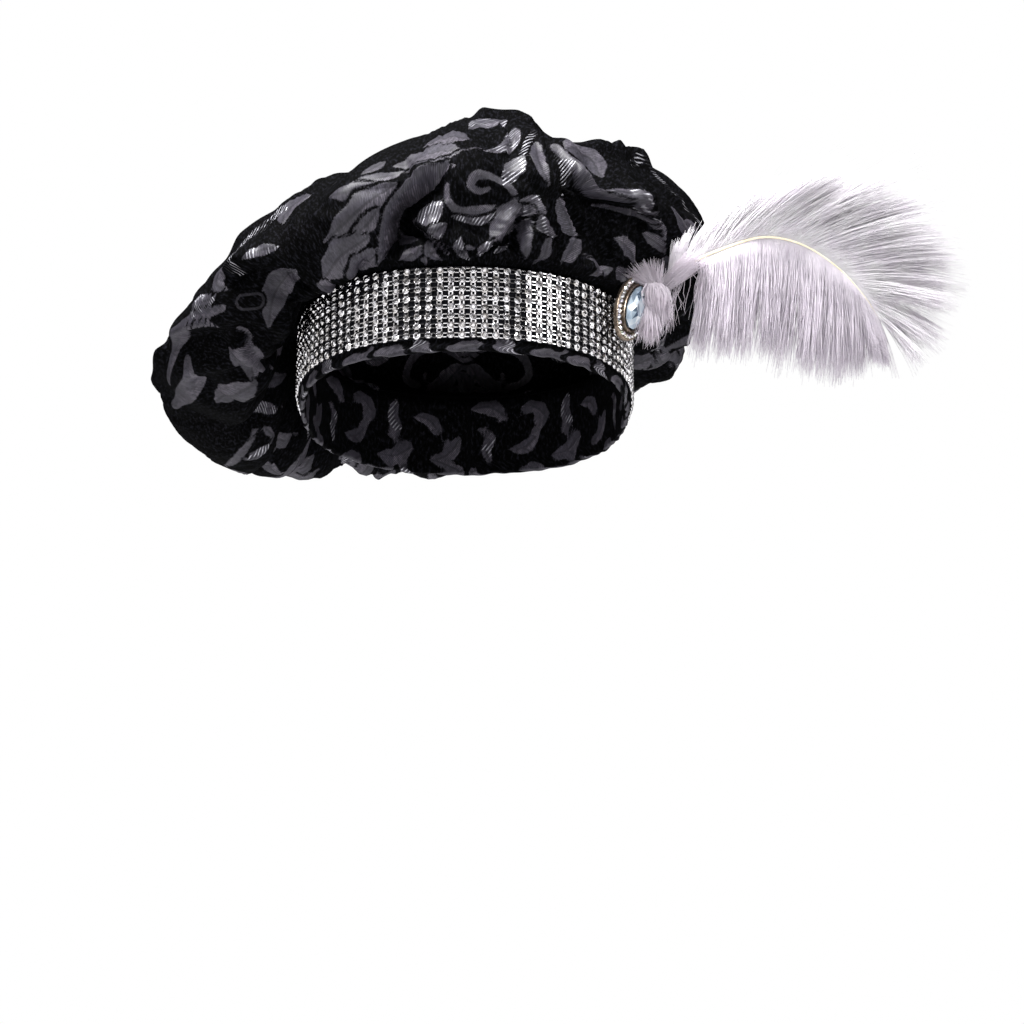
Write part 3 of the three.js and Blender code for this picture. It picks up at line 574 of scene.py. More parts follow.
# The woven figure: palmettes, C-scrolls and an eye. What the photo shows is a line in the pixels of a crop and
# how many of them the stroke measures across, or its width in millimetres where that was set. The
# rest is a line of (azimuth, along) and a width. A later stroke lies over an earlier one.
CROWN_FIGURE = [
    {
        "form": "leaf", "crop": MIDDLE_CROP, "across": 58, "bright": False,
        "read": [(425, 150), (330, 150), (235, 188)],
    },
    {
        "form": "leaf", "crop": MIDDLE_CROP, "across": 64, "bright": False,
        "read": [(405, 205), (250, 235), (95, 285)],
    },
    {
        "form": "scroll", "crop": MIDDLE_CROP, "across": 14, "bright": False,
        "read": [(500, 200), (300, 265), (100, 322), (0, 365)],
    },
    {
        "form": "leaf", "crop": MIDDLE_CROP, "across": 75, "bright": False,
        "read": [(390, 285), (310, 320), (235, 375)],
    },
    {
        "form": "leaf", "crop": MIDDLE_CROP, "across": 44, "bright": False,
        "read": [(135, 318), (60, 338), (-20, 372)],
    },
    {
        "form": "leaf", "crop": MIDDLE_CROP, "across": 52, "bright": True,
        "read": [(600, 62), (520, 72), (435, 102)],
    },
    {
        "form": "leaf", "crop": MIDDLE_CROP, "across": 46, "bright": True,
        "read": [(655, 100), (645, 170), (590, 205), (515, 212)],
    },
    {
        "form": "thread", "crop": MIDDLE_CROP, "across": 26, "bright": True,
        "read": [(745, 118), (705, 190), (690, 245)],
    },
    {
        "form": "leaf", "crop": MIDDLE_CROP, "across": 88, "bright": True,
        "read": [(700, 245), (655, 300), (610, 385)],
    },
    {
        "form": "leaf", "crop": MIDDLE_CROP, "across": 60, "bright": False,
        "read": [(765, 175), (772, 270), (802, 395)],
    },
    {
        "form": "thread", "crop": MIDDLE_CROP, "across": 13, "bright": True,
        "read": [(850, 220), (870, 330), (892, 430)],
    },
    {
        "form": "leaf", "crop": MIDDLE_CROP, "width": 10, "bright": False,
        "read": [(865, 460), (900, 540), (925, 640)],
    },
    {
        "form": "leaf", "crop": MIDDLE_CROP, "across": 85, "bright": False,
        "read": [(925, 640), (905, 710), (862, 770)],
    },
    {
        "form": "scroll", "crop": MIDDLE_CROP, "across": 46, "bright": False,
        "read": [(540, 402), (492, 408), (456, 376), (472, 337), (540, 335), (612, 390), (665, 470)],
    },
    {
        "form": "scroll", "crop": MIDDLE_CROP, "across": 40, "bright": False,
        "read": [(338, 385), (350, 450), (402, 495), (500, 500), (605, 478)],
    },
    {
        "form": "leaf", "crop": MIDDLE_CROP, "across": 34, "bright": True,
        "read": [(365, 520), (480, 545), (570, 528), (650, 485)],
    },
    {
        "form": "leaf", "crop": MIDDLE_CROP, "across": 90, "bright": True,
        "read": [(310, 470), (250, 520), (200, 545)],
    },
    {
        "form": "leaf", "crop": MIDDLE_CROP, "across": 70, "bright": True,
        "read": [(340, 560), (285, 590), (235, 640)],
    },
    {
        "form": "leaf", "crop": MIDDLE_CROP, "across": 95, "bright": False,
        "read": [(700, 465), (620, 545), (535, 655)],
    },
    {
        "form": "leaf", "crop": MIDDLE_CROP, "across": 56, "bright": True,
        "read": [(775, 440), (725, 495), (685, 550)],
    },
    {
        "form": "scroll", "crop": MIDDLE_CROP, "across": 30, "bright": False,
        "read": [(690, 455), (755, 460), (805, 530)],
    },
    {
        "form": "leaf", "crop": MIDDLE_CROP, "across": 58, "bright": True,
        "read": [(775, 530), (800, 570), (830, 630)],
    },
    {
        "form": "leaf", "crop": MIDDLE_CROP, "across": 50, "bright": False,
        "read": [(685, 560), (712, 660), (690, 755)],
    },
    {
        "form": "scroll", "crop": MIDDLE_CROP, "across": 26, "bright": False,
        "read": [(245, 650), (340, 690), (430, 680), (485, 722)],
    },
    {
        "form": "leaf", "crop": MIDDLE_CROP, "across": 36, "bright": True,
        "read": [(485, 735), (510, 690), (560, 640)],
    },
    {
        "form": "leaf", "crop": MIDDLE_CROP, "across": 30, "bright": True,
        "read": [(545, 720), (585, 690), (610, 660)],
    },
    {
        "form": "scroll", "crop": MIDDLE_CROP, "across": 20, "bright": False,
        "read": [(190, 560), (240, 645), (330, 735)],
    },
    {
        "form": "leaf", "crop": MIDDLE_CROP, "across": 40, "bright": False,
        "read": [(150, 700), (200, 730), (230, 790)],
    },
    {
        "form": "leaf", "crop": MIDDLE_CROP, "across": 60, "bright": False,
        "read": [(75, 610), (120, 650), (190, 660)],
    },
    {
        "form": "leaf", "crop": MIDDLE_CROP, "width": 15, "bright": False,
        "read": [(890, 205), (1000, 240), (1060, 330)],
    },
    {
        "form": "scroll", "crop": MIDDLE_CROP, "across": 42, "bright": False,
        "read": [
            (830, 185), (905, 255), (1000, 350), (1080, 430),
            (1170, 450), (1250, 480), (1310, 580), (1335, 690),
        ],
    },
    {
        "form": "leaf", "crop": MIDDLE_CROP, "across": 34, "bright": True,
        "read": [(1075, 400), (1170, 405), (1250, 460), (1305, 545)],
    },
    {
        "form": "scroll", "crop": MIDDLE_CROP, "across": 26, "bright": False,
        "read": [(1000, 490), (1120, 508), (1240, 545), (1295, 610)],
    },
    {
        "form": "leaf", "crop": MIDDLE_CROP, "across": 55, "bright": False,
        "read": [(1225, 610), (1290, 645), (1335, 690)],
    },
    {
        "form": "thread", "crop": MIDDLE_CROP, "across": 20, "bright": True,
        "read": [(1195, 272), (1265, 245), (1375, 385), (1455, 475), (1525, 555)],
    },
    {
        "form": "leaf", "crop": MIDDLE_CROP, "across": 42, "bright": False,
        "read": [(1360, 485), (1415, 565), (1455, 635)],
    },
    {
        "form": "leaf", "crop": MIDDLE_CROP, "across": 36, "bright": False,
        "read": [(1440, 545), (1480, 585), (1515, 630)],
    },
    {
        "form": "leaf", "crop": MIDDLE_CROP, "across": 72, "bright": False,
        "read": [(1285, 800), (1330, 765), (1375, 735)],
    },
    {
        "form": "leaf", "crop": MIDDLE_CROP, "across": 40, "bright": False,
        "read": [(1120, 640), (1180, 700), (1190, 760)],
    },
    {
        "form": "leaf", "crop": MIDDLE_CROP, "across": 36, "bright": False,
        "read": [(980, 740), (1040, 790), (1110, 800)],
    },
    {
        "form": "leaf", "crop": MIDDLE_CROP, "across": 60, "bright": False,
        "read": [(1240, 1215), (1330, 1225), (1430, 1185)],
    },
    {
        "form": "leaf", "crop": LEFT_CROP, "across": 46, "bright": False,
        "read": [(1030, 268), (920, 292), (830, 312)],
    },
    {
        "form": "leaf", "crop": LEFT_CROP, "across": 60, "bright": False,
        "read": [(930, 325), (830, 346), (735, 374)],
    },
    {
        "form": "leaf", "crop": LEFT_CROP, "across": 95, "bright": False,
        "read": [(1010, 320), (860, 430), (712, 540)],
    },
    {
        "form": "leaf", "crop": LEFT_CROP, "across": 62, "bright": False,
        "read": [(940, 415), (880, 480), (815, 535)],
    },
    {
        "form": "leaf", "crop": LEFT_CROP, "across": 120, "bright": False,
        "read": [(890, 525), (785, 600), (695, 705)],
    },
    {
        "form": "leaf", "crop": LEFT_CROP, "across": 50, "bright": False,
        "read": [(955, 470), (935, 550), (918, 620)],
    },
    {"form": "leaf", "width": 14, "bright": False, "line": [(-21, 1.95), (-26, 1.35), (-32, 0.8)]},
    {
        "form": "leaf", "crop": LEFT_CROP, "across": 26, "bright": False,
        "read": [(955, 222), (910, 250), (865, 275)],
    },
    {
        "form": "leaf", "crop": LEFT_CROP, "across": 30, "bright": False,
        "read": [(810, 262), (770, 290), (735, 318)],
    },
    {
        "form": "leaf", "crop": LEFT_CROP, "across": 44, "bright": False,
        "read": [(640, 362), (570, 402), (548, 465)],
    },
    {
        "form": "leaf", "crop": LEFT_CROP, "across": 44, "bright": True,
        "read": [(515, 575), (440, 580), (380, 612)],
    },
    {
        "form": "thread", "crop": LEFT_CROP, "across": 26, "bright": True,
        "read": [(525, 415), (410, 512), (325, 640)],
    },
    {
        "form": "leaf", "crop": LEFT_CROP, "width": 16, "bright": False,
        "read": [(590, 670), (505, 760), (470, 885)],
    },
    {"form": "eye", "crop": LEFT_CROP, "across": 60, "bright": False, "read": [(372, 795), (430, 790)]},
    {
        "form": "leaf", "crop": LEFT_CROP, "across": 46, "bright": False,
        "read": [(292, 640), (268, 700), (305, 745)],
    },
    {
        "form": "leaf", "crop": LEFT_CROP, "across": 54, "bright": True,
        "read": [(262, 765), (195, 800), (135, 860)],
    },
    {
        "form": "scroll", "crop": LEFT_CROP, "across": 60, "bright": False,
        "read": [(300, 818), (185, 858), (105, 930), (82, 1010), (78, 1110)],
    },
    {
        "form": "scroll", "crop": LEFT_CROP, "across": 56, "bright": False,
        "read": [(150, 1025), (176, 1090), (145, 1175), (100, 1205)],
    },
    {
        "form": "scroll", "crop": LEFT_CROP, "across": 14, "bright": False,
        "read": [(290, 886), (230, 880), (170, 895)],
    },
    {
        "form": "scroll", "crop": LEFT_CROP, "across": 24, "bright": False,
        "read": [(345, 885), (395, 960), (475, 1065)],
    },
    {
        "form": "leaf", "crop": LEFT_CROP, "across": 90, "bright": False,
        "read": [(315, 980), (372, 1045), (420, 1120)],
    },
    {
        "form": "leaf", "crop": LEFT_CROP, "across": 75, "bright": False,
        "read": [(262, 1190), (345, 1160), (420, 1125)],
    },
    {
        "form": "leaf", "crop": LEFT_CROP, "across": 64, "bright": True,
        "read": [(405, 1225), (460, 1212), (510, 1222)],
    },
    {
        "form": "scroll", "crop": LEFT_CROP, "across": 22, "bright": False,
        "read": [(575, 875), (530, 960), (498, 1020)],
    },
    {
        "form": "scroll", "crop": LEFT_CROP, "across": 16, "bright": False,
        "read": [(290, 1455), (375, 1390), (420, 1305)],
    },
    {
        "form": "leaf", "crop": LEFT_CROP, "across": 36, "bright": True,
        "read": [(370, 1435), (420, 1400), (470, 1362)],
    },
    {
        "form": "leaf", "crop": LEFT_CROP, "across": 36, "bright": False,
        "read": [(480, 1378), (520, 1355), (570, 1335)],
    },
    {"form": "leaf", "width": 11, "bright": False, "line": [(-112, 2.25), (-118, 2.05), (-126, 1.95)]},
    {
        "form": "leaf", "crop": LEFT_CROP, "across": 30, "bright": False,
        "read": [(440, 1290), (455, 1320), (478, 1348)],
    },
    {
        "form": "leaf", "crop": LEFT_CROP, "across": 40, "bright": False,
        "read": [(470, 1130), (500, 1090), (540, 1080)],
    },
    {"form": "leaf", "width": 6.5, "bright": False, "line": [(-37.5, 2.2), (-36.5, 2.1), (-35.5, 1.5)]},
    {
        "form": "scroll", "width": 6.5, "bright": False,
        "line": [(-3, 2.98), (-10, 2.86), (-15.5, 2.55), (-18.5, 2.15), (-21, 1.2)],
    },
    {"form": "leaf", "width": 6, "bright": False, "line": [(-16, 0.7), (-13, 1.0), (-10.5, 1.35)]},
    {"form": "leaf", "width": 6, "bright": False, "line": [(-36, 1.5), (-33, 1.1), (-31, 0.6)]},
    {"form": "leaf", "width": 5, "bright": False, "line": [(-9, 1.5), (-8, 1.0), (-6, 0.5)]},
    {"form": "leaf", "width": 6, "bright": True, "line": [(0, 1.6), (-1, 1.1), (1, 0.5)]},
    {"form": "leaf", "width": 5, "bright": False, "line": [(21, 1.7), (20, 1.2), (18, 0.5)]},
    {"form": "leaf", "width": 6, "bright": False, "line": [(36, 1.6), (38, 1.1), (36, 0.6)]},
    {"form": "leaf", "width": 6, "bright": False, "line": [(-46, 1.4), (-44, 1.0), (-45, 0.5)]},
    {"form": "leaf", "width": 8, "bright": False, "line": [(46, 1.5), (52, 1.8), (56, 2.1)]},
]
# The rest of the round, which the front doesn't show, has a palmette in half drops, in flat millimetres.
PALMETTE = [
    {"form": "leaf", "width": 13, "bright": False, "line": [(2, -8), (12, 3), (27, 7)]},
    {"form": "leaf", "width": 13, "bright": False, "line": [(-2, -8), (-12, 3), (-27, 7)]},
    {"form": "leaf", "width": 11, "bright": False, "line": [(0, -2), (3, 13), (1, 30)]},
    {"form": "leaf", "width": 9, "bright": False, "line": [(6, 6), (15, 18), (17, 31)]},
    {"form": "leaf", "width": 9, "bright": False, "line": [(-6, 6), (-15, 18), (-17, 31)]},
    {
        "form": "scroll", "width": 5, "bright": False,
        "line": [(1, -11), (14, -19), (30, -17), (37, -5), (29, 3), (23, -4)],
    },
    {
        "form": "scroll", "width": 5, "bright": False,
        "line": [(-1, -11), (-14, -19), (-30, -17), (-37, -5), (-29, 3), (-23, -4)],
    },
    {"form": "leaf", "width": 9, "bright": True, "line": [(0, -14), (4, -26), (0, -37)]},
    {"form": "leaf", "width": 7, "bright": True, "line": [(29, 15), (39, 21), (48, 17)]},
    {"form": "leaf", "width": 7, "bright": True, "line": [(-29, 15), (-39, 21), (-48, 17)]},
]
PALMETTE_ACROSS, PALMETTE_UP = 92, 80
FRONT_FIGURE = {"from": -126, "to": 90, "below": 3.9}


def on_crown(line):
    """Places on the plain crown for a line of (azimuth, along)."""
    places = []
    for around, along in line:
        row = min(np.searchsorted(alongs, along), len(alongs) - 1)
        column = np.searchsorted(azimuths, (around - CROWN_FRONT[0]) % 360 + CROWN_FRONT[0]) % CROWN_COLUMNS
        places.append(plain[row, column])
    return places


fine_rows = np.linspace(0, len(alongs) - 1, (len(alongs) - 1) * BETWEEN + 1)
fine_columns = np.linspace(0, CROWN_COLUMNS, CROWN_COLUMNS * BETWEEN, endpoint=False)
fine_alongs = np.interp(fine_rows, range(len(alongs)), alongs)
fine_azimuths = np.interp(fine_columns, range(CROWN_COLUMNS + 1), np.append(azimuths, azimuths[0] + 360))


def between(grid):
    """The cloth's grid of places, with the places between its rows and columns."""
    grid = np.concatenate([grid, grid[:, :1]], axis=1)
    row = np.minimum(fine_rows.astype(int), len(grid) - 2)
    part = (fine_rows - row)[:, None, None]
    grid = grid[row] * (1 - part) + grid[row + 1] * part
    column = fine_columns.astype(int)
    part = (fine_columns - column)[None, :, None]
    return (grid[:, column] * (1 - part) + grid[:, column + 1] * part).reshape(-1, 3)


fine_plain, fine_folded = between(plain), between(folded)
tilt = math.radians(PHOTO_TILT)
depth = PHOTO_AWAY + fine_folded @ (0, math.cos(tilt), math.sin(tilt))
height = PHOTO_RAISE + fine_folded @ (0, -math.sin(tilt), math.cos(tilt))
pixels_across = PHOTO_MIDDLE[0] + PHOTO_FOCUS * fine_folded[:, 0] / depth
pixels_down = PHOTO_MIDDLE[1] - PHOTO_FOCUS * height / depth


def seen_at(pixel):
    """Which place of the fine grid the photo shows at a pixel."""
    apart = np.hypot(pixels_across - pixel[0], pixels_down - pixel[1])
    near = np.flatnonzero(apart < max(1.6, apart.min() + 0.8))
    front = near[depth[near] < depth[near].min() + SEEN_WITHIN]
    return front[apart[front].argmin()]


def from_crop(form, crop, bright, read, across=0, width=None):
    """A stroke as it lies on the cloth, by its set width or wider than in view where the cloth turns away."""
    left, top, enlarged = crop
    points = np.array(read, float) / enlarged + (left, top)
    in_photo = across / enlarged
    half_way = len(points) // 2
    middle = points[half_way] if len(points) > 2 else points.mean(0)
    ahead = points[min(half_way + 1, len(points) - 1)] - points[half_way - 1]
    aside = np.array([-ahead[1], ahead[0]]) / np.linalg.norm(ahead) * in_photo / 2
    edges = [fine_plain[seen_at(middle + side * aside)] for side in (-1, 1)]
    low, high = (limit * in_photo / PIXELS_PER_MM for limit in WIDTH_LIMITS)
    if width is None:
        width = float(np.clip(np.linalg.norm(edges[1] - edges[0]), low, high))
    at = [divmod(seen_at(point), len(fine_azimuths)) for point in points]
    line = [(fine_azimuths[column], fine_alongs[row]) for row, column in at]
    return {"form": form, "width": width, "bright": bright, "line": line}


drawn_strokes = [from_crop(**stroke) if "crop" in stroke else stroke for stroke in CROWN_FIGURE]
strokes = [{**stroke, "line": on_crown(stroke["line"])} for stroke in drawn_strokes]
for i in range(-3, 4):
    for j in range(-3, 4):
        middle = (i * PALMETTE_ACROSS, (j + 0.5 * (i % 2)) * PALMETTE_UP)
        for stroke in PALMETTE:
            line = np.array(stroke["line"], float) + middle
            around = np.degrees(np.arctan2(line[:, 0], -line[:, 1]))
            from_front = np.mod(around - CROWN_FRONT[0], 360) + CROWN_FRONT[0]
            column = np.searchsorted(azimuths, from_front) % CROWN_COLUMNS
            reach = np.linalg.norm(line, axis=1)
            if np.any(reach > from_apex[0, column]):
                continue
            along = [np.interp(-r, -from_apex[:, k], alongs) for r, k in zip(reach, column)]
            shown = [
                FRONT_FIGURE["from"] < a < FRONT_FIGURE["to"] and u < FRONT_FIGURE["below"]
                for a, u in zip(around, along)
            ]
            if not any(shown):
                strokes.append({**stroke, "line": on_crown(zip(around, along))})
everywhere = np.vstack([plain.reshape(-1, 3), APEX])
outward = np.vstack([normals.reshape(-1, 3), (0, 0, 1)])
for name, values in woven(everywhere, outward, strokes).items():
    give(crown, name, values)

crown.data.materials.append(brocade)
bpy.ops.object.select_all(action="DESELECT")
bpy.context.view_layer.objects.active = crown
crown.select_set(True)

# The cloth settles as its fullness pushes it into wrinkles, held at the seam and loosely to its folds.
SETTLE_FRAMES = 16
SETTLE_LIMIT = 4.0
SETTLE_FULLNESS = 0.025
shaped = np.vstack([folded.reshape(-1, 3), APEX])
hold = np.append(1 - 0.97 * smooth(0.3, 0.9, up_it.ravel()) * (1 - smooth(4.3, 4.8, up_it.ravel())), 1.0)
group = crown.vertex_groups.new(name="hold")
for index, weight in enumerate(hold.tolist()):
    group.add([index], weight, "REPLACE")
cloth_sim = crown.modifiers.new("cloth", "CLOTH")
cloth_sim.settings.vertex_group_mass = group.name
cloth_sim.settings.pin_stiffness = 1.0
cloth_sim.settings.quality = 6
cloth_sim.settings.mass = 0.05
cloth_sim.settings.tension_stiffness = 20
cloth_sim.settings.compression_stiffness = 20
cloth_sim.settings.shear_stiffness = 8
cloth_sim.settings.bending_stiffness = 0.6
cloth_sim.settings.shrink_min = -SETTLE_FULLNESS
cloth_sim.settings.effector_weights.gravity = 0.05
cloth_sim.collision_settings.use_collision = False
cloth_sim.collision_settings.use_self_collision = False
for frame_number in range(1, SETTLE_FRAMES + 1):
    bpy.context.scene.frame_set(frame_number)
bpy.ops.object.modifier_apply(modifier=cloth_sim.name)
settled = np.empty(len(shaped) * 3)
crown.data.vertices.foreach_get("co", settled)
move = settled.reshape(-1, 3) / MM - shaped
move *= np.minimum(1, SETTLE_LIMIT / np.maximum(np.linalg.norm(move, axis=1, keepdims=True), 1e-6))
crown.data.vertices.foreach_set("co", ((shaped + move) * MM).ravel())
crown.data.update()
crown.vertex_groups.clear()
bpy.context.scene.frame_set(1)
wall = crown.modifiers.new("wall", "SOLIDIFY")
wall.thickness = CLOTH * MM
wall.offset = -1
bpy.ops.object.modifier_apply(modifier=wall.name)
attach(crown, "root")
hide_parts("crown")


# TRIM
# A ribbon of plated mesh: rows of round studs, each a bright cup with a faceted top, moulded together by pairs
# of thin ties. It is glued round the band, and the black net under it shows between the studs.

TRIM_BOTTOM = 5.2
TRIM_ROWS, TRIM_ROW_PITCH = 8, 4.6
TRIM_COLUMNS = 114
NET_OUT = BAND_WALL + 0.3
NET_THICKNESS = 0.7
STUD_SIDES = 8
# Rings of a stud from its foot to its top: distance from its middle, and height over the net.
STUD_RINGS = [(1.6, 0.0), (1.98, 0.35), (1.92, 0.8), (1.45, 1.2), (1.15, 0.9), (0.75, 1.35)]
TIE_WIDTH, TIE_DEPTH, TIE_ASIDE = 0.58, 0.55, 0.95

fine = np.linspace(-180, 180, 7201)
oval = polar(fine, head_radius(fine, NET_OUT + NET_THICKNESS), 0.0)
distance = np.concatenate([[0], np.cumsum(np.linalg.norm(np.diff(oval, axis=0), axis=1))])
stud_azimuths = np.interp(np.arange(TRIM_COLUMNS) / TRIM_COLUMNS * distance[-1], distance, fine)
ahead = np.stack([np.interp(stud_azimuths, fine, np.gradient(oval[:, k])) for k in range(3)], axis=-1)
ahead /= np.linalg.norm(ahead, axis=-1, keepdims=True)
upward = np.array([0.0, 0.0, 1.0])
outward = np.cross(ahead, upward)
feet = polar(stud_azimuths, head_radius(stud_azimuths, NET_OUT + NET_THICKNESS), 0.0)


def local_mesh(points, faces, frames):
    """Copies of one small mesh, each in its own frame of (place, right, up, out), as one mesh."""
    points = np.asarray(points, float)
    places = [
        place + points[:, :1] * right + points[:, 1:2] * up + points[:, 2:] * out
        for place, right, up, out in frames
    ]
    count = len(points)
    joined = [[corner + i * count for corner in face] for i in range(len(frames)) for face in faces]
    return np.vstack(places), joined


stud_angles = (np.arange(STUD_SIDES) + 0.5) * 2 * np.pi / STUD_SIDES
stud = [(r * math.cos(a), r * math.sin(a), h) for r, h in STUD_RINGS for a in stud_angles]
stud_faces = ring_faces(len(STUD_RINGS), STUD_SIDES).tolist()
stud_faces.append(list(range(len(stud) - STUD_SIDES, len(stud))))
bar = [(x, y, z) for z in (0.0, 1.0) for x, y in ((-0.5, -0.5), (0.5, -0.5), (0.5, 0.5), (-0.5, 0.5))]
bar_faces = [[3, 2, 1, 0], [4, 5, 6, 7], [0, 1, 5, 4], [1, 2, 6, 5], [2, 3, 7, 6], [3, 0, 4, 7]]
sway = np.random.default_rng(21)
studs, upright, level = [], [], []
for row in range(TRIM_ROWS):
    for i in range(TRIM_COLUMNS):
        up = TRIM_BOTTOM + (row + 0.5) * TRIM_ROW_PITCH
        place = feet[i] + upward * (up + sway.normal(0, 0.08)) + ahead[i] * sway.normal(0, 0.1)
        tip = outward[i] + 0.13 * sway.normal(size=3)
        tip /= np.linalg.norm(tip)
        right = np.cross(upward, tip)
        right /= np.linalg.norm(right)
        studs.append((place, right, np.cross(tip, right), tip))
        for side in (-1, 1):
            if row < TRIM_ROWS - 1:
                foot = place + upward * TRIM_ROW_PITCH / 2 + ahead[i] * side * TIE_ASIDE
                lean = outward[i] + 0.22 * sway.normal(size=3)
                upright.append((foot, ahead[i] * TIE_WIDTH, upward * 1.6, lean * TIE_DEPTH))
            gap = feet[(i + 1) % TRIM_COLUMNS] - feet[i]
            foot = place + gap / 2 + upward * side * TIE_ASIDE
            lean = outward[i] + 0.22 * sway.normal(size=3)
            level.append((foot, gap * 0.36, upward * TIE_WIDTH * 0.7, lean * TIE_DEPTH))
places, faces = local_mesh(stud, stud_faces, studs)
for frames in (upright, level):
    more, more_faces = local_mesh(bar, bar_faces, frames)
    faces += [[corner + len(places) for corner in face] for face in more_faces]
    places = np.vstack([places, more])
trim = mesh_piece("trim_studs", places, faces, smooth=False)

plating, tree = new_material("silver_plated_studs")
where = add(tree, "TexCoord").outputs["Object"]
worn = add(tree, "TexNoise", {"Vector": where, "Scale": 420.0, "Detail": 3.0}).outputs["Fac"]
colour = blend(tree, ramp(tree, worn, 0.35, 0.7), linear("#cccbcf"), linear("#a09c99"))
shader = add(
    tree,
    "BsdfPrincipled",
    {"Base Color": colour, "Metallic": 1.0, "Roughness": ramp(tree, worn, 0.3, 0.8, 0.06, 0.2)},
)
add(tree, "OutputMaterial", {"Surface": shader.outputs[0]})
trim.data.materials.append(plating)

NET_COLUMNS = 228
NET_BOTTOM, NET_TOP = 6.0, 41.0
net_face = NET_OUT + NET_THICKNESS - 0.2
strip = [(NET_OUT, NET_TOP), (NET_OUT, NET_BOTTOM), (net_face, NET_BOTTOM), (net_face, NET_TOP)]
around = np.arange(NET_COLUMNS) * 360 / NET_COLUMNS
places = np.stack([polar(around, head_radius(around, out), up) for out, up in strip])
net = mesh_piece("trim_net", places, ring_faces(len(strip), NET_COLUMNS, close=True), smooth=False)
netting, tree = new_material("black_net_backing")
where = add(tree, "TexCoord").outputs["Object"]
mesh_cells = add(tree, "TexVoronoi", {"Vector": where, "Scale": 900.0}).outputs["Distance"]
colour = blend(tree, ramp(tree, mesh_cells, 0.2, 0.7), linear("#050507"), linear("#131318"))
relief = add(tree, "Bump", {"Height": mesh_cells, "Strength": 0.5, "Distance": 0.3 * MM}).outputs["Normal"]
shader = add(
    tree,
    "BsdfPrincipled",
    {"Base Color": colour, "Roughness": 0.9, "Specular IOR Level": 0.05, "Normal": relief},
)
add(tree, "OutputMaterial", {"Surface": shader.outputs[0]})
net.data.materials.append(netting)
for piece in (trim, net):
    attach(piece, "root")
    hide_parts("rhinestone_trim")


# BROOCH
# An oval cast setting pinned to the band at the left temple: a plate with a raised bezel, and a halo of small
# stones between two beaded edges. It holds one pale blue cut stone, foiled behind, that leans with the setting.

BROOCH_AT = (81.9, -62.0, 35.4)
BROOCH_FACING, BROOCH_LEAN = 57, 34
brooch_frame = (
    Matrix.Translation(Vector(BROOCH_AT) * MM)
    @ Matrix.Rotation(math.radians(BROOCH_FACING), 4, "Z")
    @ Matrix.Rotation(math.radians(90), 4, "X")
    @ Matrix.Rotation(math.radians(-BROOCH_LEAN), 4, "Z")
)
SETTING_HALF = (11.8, 20.5)
SETTING_PLATE = 1.8
BEZEL_HALF = (8.4, 16.0)
STONE_HALF = (7.0, 14.6)
HALO_HALF = (10.1, 18.25)
HALO_STONES = 31
STONE_SIDES = 12
# Two rows of beads: the oval that they lie on, how many, how high, and their radius.
BEAD_ROWS = [((11.35, 20.05), 92, 0.05, 0.45), ((8.8, 16.4), 78, 0.1, 0.34)]
POST_RADIUS, POST_LENGTH, POST_UP = 2.6, 5.2, -4.3


def only(piece):
    """Makes one object the only one selected, and active."""
    bpy.ops.object.select_all(action="DESELECT")
    piece.select_set(True)
    bpy.context.view_layer.objects.active = piece
    return piece


def settle(pieces, name):
    """Joins objects that were made at the brooch's own frame, and leaves their places in the mesh."""
    bpy.ops.object.select_all(action="DESELECT")
    for piece in pieces:
        piece.select_set(True)
    bpy.context.view_layer.objects.active = pieces[0]
    if len(pieces) > 1:
        bpy.ops.object.join()
    joined = bpy.context.object
    bpy.ops.object.transform_apply(location=True, rotation=True, scale=True)
    joined.matrix_world = brooch_frame
    bpy.ops.object.transform_apply(location=True, rotation=True, scale=True)
    joined.name = name
    return joined


def oval_disc(half, low, high, sides=64):
    """A flat oval disc between two heights."""
    middle = (0, 0, (low + high) / 2 * MM)
    bpy.ops.mesh.primitive_cylinder_add(vertices=sides, radius=1, depth=1, location=middle)
    bpy.context.object.scale = (half[0] * MM, half[1] * MM, (high - low) * MM)
    bpy.ops.object.transform_apply(location=False, rotation=False, scale=True)
    return bpy.context.object


def pick_top(disc):
    """Enters edit mode with only the top face of a disc selected."""
    only(disc)
    top = max(disc.data.polygons, key=lambda face: face.center.z)
    for part in (disc.data.vertices, disc.data.edges, disc.data.polygons):
        part.foreach_set("select", [False] * len(part))
    top.select = True
    bpy.ops.object.mode_set(mode="EDIT")
    bpy.ops.mesh.select_mode(type="FACE")


plate = oval_disc(SETTING_HALF, -SETTING_PLATE, 0)
pick_top(plate)
bpy.ops.mesh.inset(thickness=0.5 * MM)
bpy.ops.transform.translate(value=(0, 0, 0.35 * MM))
bpy.ops.mesh.inset(thickness=0.4 * MM)
bpy.ops.transform.translate(value=(0, 0, -0.45 * MM))
bpy.ops.object.mode_set(mode="OBJECT")
bezel = oval_disc(BEZEL_HALF, -0.4, 2.0)
pick_top(bezel)
bpy.ops.mesh.inset(thickness=0.75 * MM)
bpy.ops.transform.translate(value=(0, 0, 0.2 * MM))
bpy.ops.mesh.inset(thickness=0.1 * MM)
bpy.ops.transform.translate(value=(0, 0, -2.0 * MM))
bpy.ops.object.mode_set(mode="OBJECT")
for part in (plate, bezel):
    only(part)
    soften = part.modifiers.new("soften", "BEVEL")
    soften.width = 0.16 * MM
    soften.segments = 2
    soften.limit_method = "ANGLE"
    bpy.ops.object.modifier_apply(modifier=soften.name)


